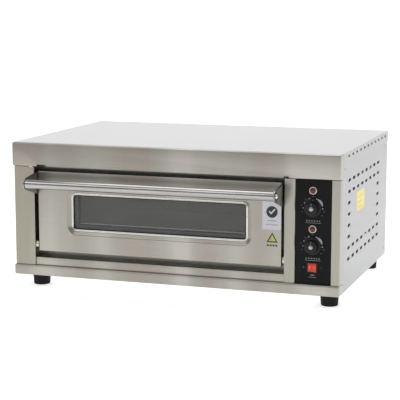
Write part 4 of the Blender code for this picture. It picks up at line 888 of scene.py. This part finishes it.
def hinge_fittings():
    """Turned hinge shafts and their flanged bushes."""
    clearance, sleeve_r, sleeve = 0.00015, 0.0068, 0.0053
    pin_edge, flange_edge = 0.0005, 0.0006
    centre = (0, HINGE.y, HINGE.z)
    for side, out in (("left", -1), ("right", 1)):
        low, high = corners(side + "_hinge_shaft")
        radius = (high.z - low.z) / 2
        bm = bmesh.new()
        spun(bm, rod(low.x, high.x, radius, pin_edge), centre, "X", 40)
        piece(bm, side + "_pivot_pin", ZINC, "door", (side + "_hinge_shaft",))
        low, high = corners(side + "_hinge_bush")
        flange_r, bore = (high.z - low.z) / 2, radius + clearance
        near, far = (high.x, low.x) if out < 0 else (low.x, high.x)
        seat = far - out * sleeve
        profile = [(bore, near), (flange_r - flange_edge, near), (flange_r, near + out * flange_edge),
                   (flange_r, seat), (sleeve_r, seat), (sleeve_r, far), (bore, far)]
        bm = bmesh.new()
        spun(bm, profile, centre, "X", 40, closed=True)
        piece(bm, side + "_pivot_bush", BRASS, "oven", (side + "_hinge_bush",))


def rope_seal():
    """Braided rope on the back of the door."""
    low, high = corners("door_gasket")
    width, corner_r = 0.009, 0.0165
    half_w, half_d = width / 2, (high.y - low.y) / 2
    middle = (low.y + high.y) / 2
    box = ((low.x + half_w, low.z + half_w), (high.x - half_w, high.z - half_w))
    sections = [(half_w * math.cos(a), corner_r + half_w * math.cos(a), middle + half_d * math.sin(a))
                for a in angles(16, 0.0, 2 * math.pi)[:-1]]
    bm = bmesh.new()
    skinned(bm, box, sections, closed=True)
    piece(bm, "door_rope_seal", ROPE, "door", ("door_gasket",))


def sticker(name, outline, depth, mat):
    """A flat printed film on the door, from an (X, Z) outline."""
    bm = bmesh.new()
    raised(bm, [(x, depth, z) for x, z in outline], (0, -FILM, 0))
    piece(bm, name, mat, "door")


def rectangle(left, low, right, high):
    """Outline of an upright rectangle."""
    return [(left, low), (right, low), (right, high), (left, high)]


def door_labels():
    """Two plain stickers at the door's right: a white one with a ticked disc, a yellow triangle."""
    face = corners("door_skin")[0].y
    white = sticker_finish("white_film", ((0.60, 0.60, 0.66), (0.66, 0.66, 0.71)))
    ink = sticker_finish("black_ink", ((0.012, 0.012, 0.014), (0.020, 0.020, 0.022)))
    grey = sticker_finish("grey_ink", ((0.30, 0.30, 0.34), (0.36, 0.36, 0.40)))
    yellow = sticker_finish("yellow_film", ((0.42, 0.42, 0.10), (0.50, 0.50, 0.14)))
    left, right, low, high = 0.2458, 0.2952, 0.2018, 0.2745
    sticker("white_label", rectangle(left, low, right, high), face, white)
    disc_x, disc_z, disc_r = (left + right) / 2 + 0.001, 0.2475, 0.0150
    disc = [(disc_x + disc_r * math.cos(a), disc_z + disc_r * math.sin(a))
            for a in angles(40, 0.0, 2 * math.pi)[:-1]]
    sticker("label_disc", disc, face - FILM, ink)
    tick = [(-0.0085, 0.0005), (-0.0025, -0.0065), (0.0095, 0.0065), (0.0065, 0.0090), (-0.0022, -0.0010),
            (-0.0060, 0.0030)]
    sticker("label_tick", [(disc_x + u, disc_z + v) for u, v in tick], face - 2 * FILM, white)
    bar_h = 0.0022
    for k, (x0, x1, z) in enumerate(((0.2585, 0.2845, 0.2240), (0.2550, 0.2880, 0.2135))):
        sticker("label_bar_%d" % k, rectangle(x0, z, x1, z + bar_h), face - FILM, grey)

    tri_x, tri_low, tri_high, half = 0.2725, 0.1690, 0.1945, 0.0150
    inner_half, inner_low, inner_high = half * 0.66, tri_low + 0.0030, tri_high - 0.0055
    rim = [(tri_x - half, tri_low), (tri_x + half, tri_low), (tri_x, tri_high)]
    middle = [(tri_x - inner_half, inner_low), (tri_x + inner_half, inner_low), (tri_x, inner_high)]
    sticker("triangle_rim", rim, face, ink)
    sticker("triangle_middle", middle, face - FILM, yellow)
    stroke_low, stroke_high, stroke_w, stroke_pitch = 0.1590, 0.1636, 0.0052, 0.0075
    for k in range(4):
        x = tri_x - 0.0140 + k * stroke_pitch
        sticker("triangle_bar_%d" % k, rectangle(x, stroke_low, x + stroke_w, stroke_high), face, ink)


def side_label():
    """Plain yellow sticker on the right side sheet."""
    x = corners("right_side_panel")[1].x
    yellow = sticker_finish("pale_yellow_film", ((0.92, 0.78, 0.16), (0.94, 0.82, 0.24)))
    amber = sticker_finish("amber_ink", ((0.90, 0.66, 0.05), (0.92, 0.70, 0.10)))
    y0, y1, z0, z1 = POST_FRONT + 0.195, POST_FRONT + 0.292, 0.227, 0.279
    bm = bmesh.new()
    block(bm, (x, y0, z0), (x + FILM, y1, z1))
    piece(bm, "side_label", yellow, "oven")
    margin, below_top, bar_h, bar_pitch = 0.010, 0.012, 0.006, 0.014
    for k, end in enumerate((0.080, 0.060, 0.070)):
        z = z1 - below_top - k * bar_pitch
        bm = bmesh.new()
        block(bm, (x + FILM, y0 + margin, z - bar_h), (x + 2 * FILM, y0 + end, z))
        piece(bm, "side_label_bar_%d" % k, amber, "oven")


# ---------------------------------------------------------------- controls

def dial(level):
    """Knob: skirt, fluted grip, dim grey pointer; and the slotted silver cap on its shaft."""
    low, high = corners(level + "_knob")
    z = (low.z + high.z) / 2
    centre = Vector((DIAL_X, 0, z))
    back, front = high.y, low.y
    skirt_r, grip_r, skirt = (high.x - low.x) / 2, 0.0175, 0.0035
    edge = 0.0008
    bm = bmesh.new()
    skirt_front = back - skirt
    well_r, well = 0.0067, front + 0.0015
    grip = [(grip_r, skirt_front - 0.0006), (grip_r - 0.0004, skirt_front - 0.005),
            (grip_r - 0.0008, front + 0.005), (grip_r - 0.0011, front + 0.0016),
            (grip_r - 0.0017, front + 0.0005), (grip_r - 0.0030, front)]
    profile = [(0.0033, back), (skirt_r - edge, back), (skirt_r, back - edge), (skirt_r, skirt_front + edge),
               (skirt_r - edge, skirt_front), (grip_r + 0.0012, skirt_front - 0.0002)] + grip
    profile += [(well_r + 0.0004, front), (well_r, front + 0.0004), (well_r, well), (0.0033, well)]
    spun(bm, profile, centre, "Y", 144, closed=True)
    flutes, flute_deep = 24, 0.0009
    for vert in bm.verts:
        around = math.atan2(vert.co.z - z, vert.co.x - DIAL_X)
        radius = math.hypot(vert.co.z - z, vert.co.x - DIAL_X)
        if grip_r - 0.0020 < radius < grip_r + 0.0001 and vert.co.y < skirt_front - 0.0004:
            shrink = 1 - flute_deep * max(0.0, math.cos(flutes * around)) / radius
            vert.co.x = DIAL_X + (vert.co.x - DIAL_X) * shrink
            vert.co.z = z + (vert.co.z - z) * shrink
    body = level + "_dial"
    piece(bm, level + "_dial_knob", PLASTIC, body, (level + "_knob",))

    line, proud = 0.0007, 0.00015
    bm = bmesh.new()
    block(bm, (DIAL_X - line, skirt_front - proud, z + grip_r + 0.0014),
          (DIAL_X + line, skirt_front + 0.0004, z + skirt_r - 0.0012))
    block(bm, (DIAL_X - line, front - proud, z + 0.0085),
          (DIAL_X + line, front + 0.0005, z + grip_r - 0.0034))
    round_edges(bm, 0.0001, 2)
    piece(bm, level + "_dial_pointer", DIM_PRINT, body)

    low, high = corners(level + "_knob_shaft")
    cap_r, cap_rise, shaft_r, slot_half, slot_deep = 0.0055, 0.0010, 0.003, 0.0006, 0.0012
    dome = [(cap_r * math.cos(a), low.y + cap_rise - cap_rise * math.sin(a)) for a in angles(5)[:-1]]
    profile = [(0, high.y), (shaft_r, high.y), (shaft_r, front + 0.0012), (cap_r, front + 0.0012)] + dome
    profile.append((0, low.y))
    bm = bmesh.new()
    spun(bm, profile, centre, "Y", 40)

    def slot_cut(cutters):
        block(cutters, (DIAL_X - cap_r, low.y - 0.001, z - slot_half),
              (DIAL_X + cap_r, low.y + slot_deep, z + slot_half))

    piece(bm, level + "_dial_cap", POLISHED, body, (level + "_knob_shaft",), 0.0, slot_cut)


def dial_scale(level):
    """White dots, a widening bar and plain numbers round a dial, printed on the panel."""
    low, high = corners(level + "_knob")
    z = (low.z + high.z) / 2
    face = corners("control_panel")[0].y
    radius, number_x, number_z, number_h = 0.0252, 0.0300, 0.0290, 0.0030
    bm = bmesh.new()
    for degrees, size in ((-92, 0.0009), (-62, 0.0012), (-22, 0.0013), (22, 0.0013), (92, 0.0014)):
        angle = math.radians(degrees)
        x, up = DIAL_X + radius * math.sin(angle), z + radius * math.cos(angle)
        turn = Matrix.Translation((x, face - INK / 2, up)) @ Matrix.Rotation(math.radians(90), 4, "X")
        bmesh.ops.create_cone(bm, cap_ends=True, segments=12, radius1=size, radius2=size, depth=INK,
                              matrix=turn)
    piece(bm, level + "_scale_dots", PRINT, "oven")

    steps = 12
    for name, start, end, thin, swell, mat in (("band", 26, 78, 0.0006, 0.0026, BAND_PRINT),
                                               ("line", -60, -24, 0.00028, 0.0, DIM_PRINT)):
        arc = [(angle, thin + swell * math.sin(math.pi * k / steps))
               for k, angle in enumerate(angles(steps, math.radians(start), math.radians(end)))]
        outline = [(radius + half, angle) for angle, half in arc]
        outline += [(radius - half, angle) for angle, half in arc[::-1]]
        bm = bmesh.new()
        raised(bm, [(DIAL_X + r * math.sin(a), face, z + r * math.cos(a)) for r, a in outline], (0, -INK, 0))
        piece(bm, level + "_scale_" + name, mat, "oven")
    for number, degrees in (("50", -112), ("100", -78), ("150", -42), ("200", 0), ("250", 106),
                            ("300", 130)):
        angle = math.radians(degrees)
        figure(level + "_scale_" + number, number, number_h,
               (DIAL_X + number_x * math.sin(angle), face, z + number_z * math.cos(angle)))


def figure(name, text, height, place):
    """Upright printed characters, as a thin mesh on the panel."""
    half_ink, lift = 0.00005, 0.00008
    curve = bpy.data.curves.new(name, "FONT")
    curve.body = text
    curve.size = height
    curve.align_x = "CENTER"
    curve.align_y = "CENTER"
    curve.extrude = half_ink
    spot = Matrix.Translation(Vector(place) - Vector((0, lift, 0)))
    bm = from_curve(curve, spot @ Matrix.Rotation(math.radians(90), 4, "X"))
    piece(bm, name, DIM_PRINT, "oven")


def panel_marks():
    """Short plain bars where captions go, and the switch's two marks."""
    face = corners("control_panel")[0].y
    stroke_w, stroke_h, stroke_pitch, mark_h, mark_x = 0.0034, 0.0030, 0.0066, 0.0060, 0.0225

    def bar(left, right, low, high):
        block(bm, (DIAL_X + left, face - INK, low), (DIAL_X + right, face, high))

    bm = bmesh.new()
    for z in (0.2290, 0.1330):
        for k in range(6):
            x = k * stroke_pitch - 0.0172
            bar(x, x + stroke_w, z, z + stroke_h)
        bar(-0.0190, 0.0215, z - 0.0042, z - 0.0030)
    bar(-0.0045, 0.0055, 0.0905, 0.0932)
    bar(-0.0090, 0.0105, 0.0855, 0.0868)
    piece(bm, "panel_captions", DIM_PRINT, "oven")
    rocker_z = sum(c.z for c in corners("rocker_housing")) / 2
    figure("switch_mark_off", "0", mark_h, (DIAL_X - mark_x, face, rocker_z))
    figure("switch_mark_on", "I", mark_h, (DIAL_X + mark_x, face, rocker_z))


def indicator(level):
    """Pilot light: a turned bezel and a domed red lens."""
    low, high = corners(level + "_indicator")
    centre = (DIAL_X, 0, (low.z + high.z) / 2)
    radius, bore, bead_r, edge = (high.x - low.x) / 2, 0.0076, 0.0016, 0.0004
    seat = corners("control_panel")[0].y - GAP
    rim = seat - 0.0028
    bead = [(radius - bead_r + bead_r * math.cos(a), rim + bead_r - bead_r * math.sin(a)) for a in angles(5)]
    bm = bmesh.new()
    spun(bm, [(bore, seat), (radius, seat)] + bead + [(bore + edge, rim), (bore, rim + edge)],
         centre, "Y", 48, closed=True)
    piece(bm, level + "_pilot_bezel", BEZEL, "oven", (level + "_indicator",))
    lens_r, lens_edge, lens_rise = bore - 0.0002, rim + 0.0006, 0.0024
    dome = [(lens_r * math.cos(a), lens_edge - lens_rise * math.sin(a)) for a in angles(7)[:-1]]
    bm = bmesh.new()
    spun(bm, [(0, high.y), (lens_r, high.y)] + dome + [(0, lens_edge - lens_rise)], centre, "Y", 32)
    piece(bm, level + "_pilot_lens", LENS, "oven")


def rocker_switch():
    """Snap-in housing and a dished red rocker with two raised marks."""
    low, high = corners("rocker_housing")
    seat = corners("control_panel")[0].y - GAP
    rocker_w, rocker_h, snap_in = 0.0242, 0.0224, 0.0016
    box = ((low.x, low.z), (high.x, high.z))
    wall = (high.x - low.x - rocker_w) / 2 - GAP
    sections = [(-snap_in, 0.0004, high.y), (-snap_in, 0.0004, seat), (0.0, 0.0012, seat),
                (0.0, 0.0012, low.y + 0.0006), (-0.0006, 0.0010, low.y), (-wall + 0.0004, 0.0006, low.y),
                (-wall, 0.0004, low.y + 0.0004), (-wall, 0.0004, high.y)]
    bm = bmesh.new()
    skinned(bm, box, sections, closed=True)
    piece(bm, "switch_housing", PLASTIC, "oven", ("rocker_housing",))

    joint = next(j for j in frame["record"]["behaviour"]["joints"] if j["name"] == "rocker_tilt")
    reach, dish, keel, rim_r, at_rest = rocker_w / 2, 0.0022, 0.009, 0.0006, -8
    ends = [(reach * math.cos(a), -reach * math.sin(a))
            for a in angles(8, math.radians(-13.3), math.radians(24.7))]
    crown_x, crown_y = ends[-1]
    crown = [(crown_x * (1 - k / 6), crown_y + dish * math.sin(math.pi / 2 * k / 6)) for k in range(1, 7)]
    half = ends + crown
    outline = half + [(-u, v) for u, v in reversed(half[:-1])] + [(0, keel)]
    bm = bmesh.new()
    raised(bm, [(u, v, -rocker_h / 2) for u, v in outline], (0, 0, rocker_h))
    round_edges(bm, rim_r, 3, [e for e in bm.edges if any(abs(f.normal.z) > 0.9 for f in e.link_faces)])
    turn = Matrix.Translation(joint["pos_m"]) @ Matrix.Rotation(math.radians(at_rest), 4, "Z")
    bmesh.ops.transform(bm, matrix=turn, verts=bm.verts)
    piece(bm, "switch_rocker", RED, "rocker", ("rocker_button",))

    mark_x, tall, sunk, proud = 0.0066, 0.0060, 0.0003, 0.0008
    bm = bmesh.new()
    for u, wide in ((-mark_x, 0.0028), (mark_x, 0.0010)):
        lift = crown_y + dish * math.sin(math.pi / 2 * (1 - mark_x / crown_x))
        block(bm, (u - wide / 2, lift - sunk, -tall / 2), (u + wide / 2, lift + proud, tall / 2))
    round_edges(bm, 0.0002, 2)
    bmesh.ops.transform(bm, matrix=turn, verts=bm.verts)
    marks = sticker_finish("rocker_marks", ((0.72, 0.30, 0.26), (0.78, 0.36, 0.32)))
    piece(bm, "switch_rocker_marks", marks, "rocker")


# ---------------------------------------------------------------- chamber and back

def heating_element(node):
    """Round sheathed element bent back and forth."""
    low, high = corners(node)
    z = (low.z + high.z) / 2
    radius, wall_gap, legs_count = (high.z - low.z) / 2, 0.040, 4
    first, last = low.y + radius, high.y - radius
    pitch = (last - first) / (legs_count - 1)
    bend = pitch / 2
    left = low.x + radius + bend
    right = corners("chamber_right_wall")[0].x - wall_gap - bend
    legs = [first + i * pitch for i in range(legs_count)]
    path = [(high.x, legs[0])]
    for i, (near, far) in enumerate(zip(legs, legs[1:])):
        centre, way = (left, -1) if i % 2 == 0 else (right, 1)
        path += [(centre + way * bend * math.sin(a), (near + far) / 2 - bend * math.cos(a))
                 for a in angles(20, 0.0, math.pi)]
    path.append((high.x, legs[-1]))
    curve = bpy.data.curves.new(node, "CURVE")
    curve.dimensions = "3D"
    curve.bevel_depth = radius * 0.985
    curve.bevel_resolution = 5
    curve.use_fill_caps = True
    line = curve.splines.new("POLY")
    line.points.add(len(path) - 1)
    for point, (x, y) in zip(line.points, path):
        point.co = (x, y, z, 1)
    piece(from_curve(curve, Matrix()), node + "_sheath", SHEATH, "oven", (node,))


def lamp_glass():
    """Domed glass of the chamber lamp, with a knurled rim."""
    low, high = corners("lamp_cover")
    z, y = (low.z + high.z) / 2, (low.y + high.y) / 2
    radius, wall, band = (high.z - low.z) / 2, 0.0025, 0.006
    knurls, knurl_deep = 24, 0.0005
    rise = high.x - low.x - band

    def dome(inset):
        """The dome's outline, as far as its crown, at some depth in the glass."""
        return [((radius - inset) * math.cos(a), high.x - band - (rise - inset) * math.sin(a))
                for a in angles(9)[:-1]]

    profile = [(0, low.x)] + dome(0.0)[::-1] + [(radius, high.x), (radius - wall, high.x)]
    profile += dome(wall) + [(0, low.x + wall)]
    bm = bmesh.new()
    spun(bm, profile, (0, y, z), "X", 96)
    for vert in bm.verts:
        away = Vector((0, vert.co.y - y, vert.co.z - z))
        if away.length > radius - 0.0002:
            shrink = knurl_deep * max(0.0, math.cos(knurls * math.atan2(away.z, away.y)))
            vert.co -= away.normalized() * shrink
    piece(bm, "chamber_lamp_glass", LAMP_GLASS, "oven", ("lamp_cover",))


def back_fittings():
    """Steam pipe with a rolled end, and the cable gland: collar, hexagon nut and domed seal."""
    low, high = corners("steam_vent_pipe")
    x, z, radius = (low.x + high.x) / 2, (low.z + high.z) / 2, (high.x - low.x) / 2
    wall = 0.0015
    lip = [(radius - wall / 2 + wall / 2 * math.cos(a), high.y - wall / 2 + wall / 2 * math.sin(a))
           for a in angles(6, 0.0, math.pi)]
    bm = bmesh.new()
    spun(bm, [(radius - wall, low.y), (radius, low.y)] + lip, (x, 0, z), "Y", 64, closed=True)
    piece(bm, "steam_outlet_pipe", LINING, "oven", ("steam_vent_pipe",))

    low, high = corners("cable_gland")
    x, z, radius = (low.x + high.x) / 2, (low.z + high.z) / 2, (high.x - low.x) / 2
    out = corners("rear_panel")[1].y + GAP
    bore, thread, edge, washer = 0.006, 0.0095, 0.0005, 0.0023
    bm = bmesh.new()
    spun(bm, [(bore, low.y), (thread - edge, low.y), (thread, low.y + edge), (thread, out), (radius, out),
              (radius, out + washer - edge), (radius - edge, out + washer), (bore, out + washer)],
         (x, 0, z), "Y", 48, closed=True)
    piece(bm, "gland_collar", PLASTIC, "oven", ("cable_gland",))

    nut_r, nut_bore = radius - 0.0004, bore + 0.0002
    nut_back, nut_front = out + washer + 0.0001, high.y - 0.0055
    dome_in, dome_r, dome_rise = bore + 0.0015, 0.0045, high.y - nut_front
    dome = [(dome_in + dome_r * math.cos(a), nut_front + dome_rise * math.sin(a)) for a in angles(6)]
    bm = bmesh.new()
    spun(bm, [(nut_bore, nut_back), (nut_r, nut_back), (nut_r, nut_front - edge), (nut_r - edge, nut_front)]
         + dome + [(nut_bore, high.y)], (x, 0, z), "Y", 72, closed=True)
    flat = nut_r * math.cos(math.radians(30))
    for vert in bm.verts:
        away = Vector((vert.co.x - x, 0, vert.co.z - z))
        if away.length > radius - 0.0015 and vert.co.y < nut_front + 0.0001:
            around = math.atan2(away.z, away.x) % math.radians(60) - math.radians(30)
            reach = min(away.length, flat / math.cos(around))
            vert.co += away.normalized() * (reach - away.length)
    piece(bm, "gland_nut", PLASTIC, "oven")


def back_louvres():
    """Pressed hoods over the slots of the back sheet, open at their lower edge."""
    slot_x, slot_w, slot_z, slot_pitch, slot_h = 0.390, 0.070, 0.200, 0.018, 0.005
    face = corners("rear_panel")[1].y
    reach, rise, margin, hood_r, hood_t = 0.0065, 0.0058, 0.0030, 0.0018, 0.0008
    for i in range(6):
        z = slot_z + i * slot_pitch
        left, right = slot_x - slot_w / 2 - margin, slot_x + slot_w / 2 + margin
        bm = bmesh.new()
        verts = [bm.verts.new(spot) for spot in (
            (left, face + GAP, z + slot_h + rise), (right, face + GAP, z + slot_h + rise),
            (right, face + reach, z + slot_h * 0.4), (left, face + reach, z + slot_h * 0.4),
            (left, face + reach, z - margin), (right, face + reach, z - margin),
            (left, face + GAP, z - margin), (right, face + GAP, z - margin))]
        for corners_of_face in ((0, 1, 2, 3), (3, 2, 5, 4), (0, 3, 4, 6), (1, 7, 5, 2)):
            bm.faces.new([verts[k] for k in corners_of_face])
        bmesh.ops.recalc_face_normals(bm, faces=bm.faces)
        if bm.faces[:][0].normal.y < 0:
            bmesh.ops.reverse_faces(bm, faces=bm.faces)
        round_edges(bm, hood_r, 5)
        piece(bm, "back_louvre_%d" % (i + 1), PAINT, "oven", (), hood_t)


CARRIED = {
    PAINT: ("rear_panel", "bottom_pan"),
    # the partition's near-black sheet is painted shade behind the vent slots
    SHADED_BARE_SHEET: ("bay_partition",),
    BLACK: ("control_panel",),
    WINDOW: ("window_outer_pane",),
    INNER_WINDOW: ("window_inner_pane",),
    LAMP_GLASS: ("lamp_bulb",),
    LINING: ("chamber_face_plate", "chamber_floor", "chamber_roof", "chamber_left_wall",
             "chamber_right_wall", "chamber_rear_wall", "door_liner", "window_spacer"),
    DECK: ("hearth_deck",),
    WOOL: ("insulation_top", "insulation_bottom", "insulation_wrap", "door_insulation"),
    CERAMIC: ("lamp_holder",),
    ZINC: ("door_spring", "upper_thermostat", "lower_thermostat"),
}


def carried_over():
    """Finishes of the CAD nodes that keep their own shape."""
    for mat, names in CARRIED.items():
        for name in names:
            for place in frame["nodes"][name].material_slots:
                place.material = mat


camera()
studio()
lid()
side_sheet("left_side_panel")
side_sheet("right_side_panel")
head_panel()
rail_and_posts()
feet()
casing_screws()
door_front()
window_frame()
between_panes()
handle()
hinge_fittings()
rope_seal()
door_labels()
side_label()
for level_name in ("upper", "lower"):
    dial(level_name)
    dial_scale(level_name)
    indicator(level_name)
    heating_element(level_name + "_element")
panel_marks()
rocker_switch()
lamp_glass()
back_fittings()
back_louvres()
carried_over()
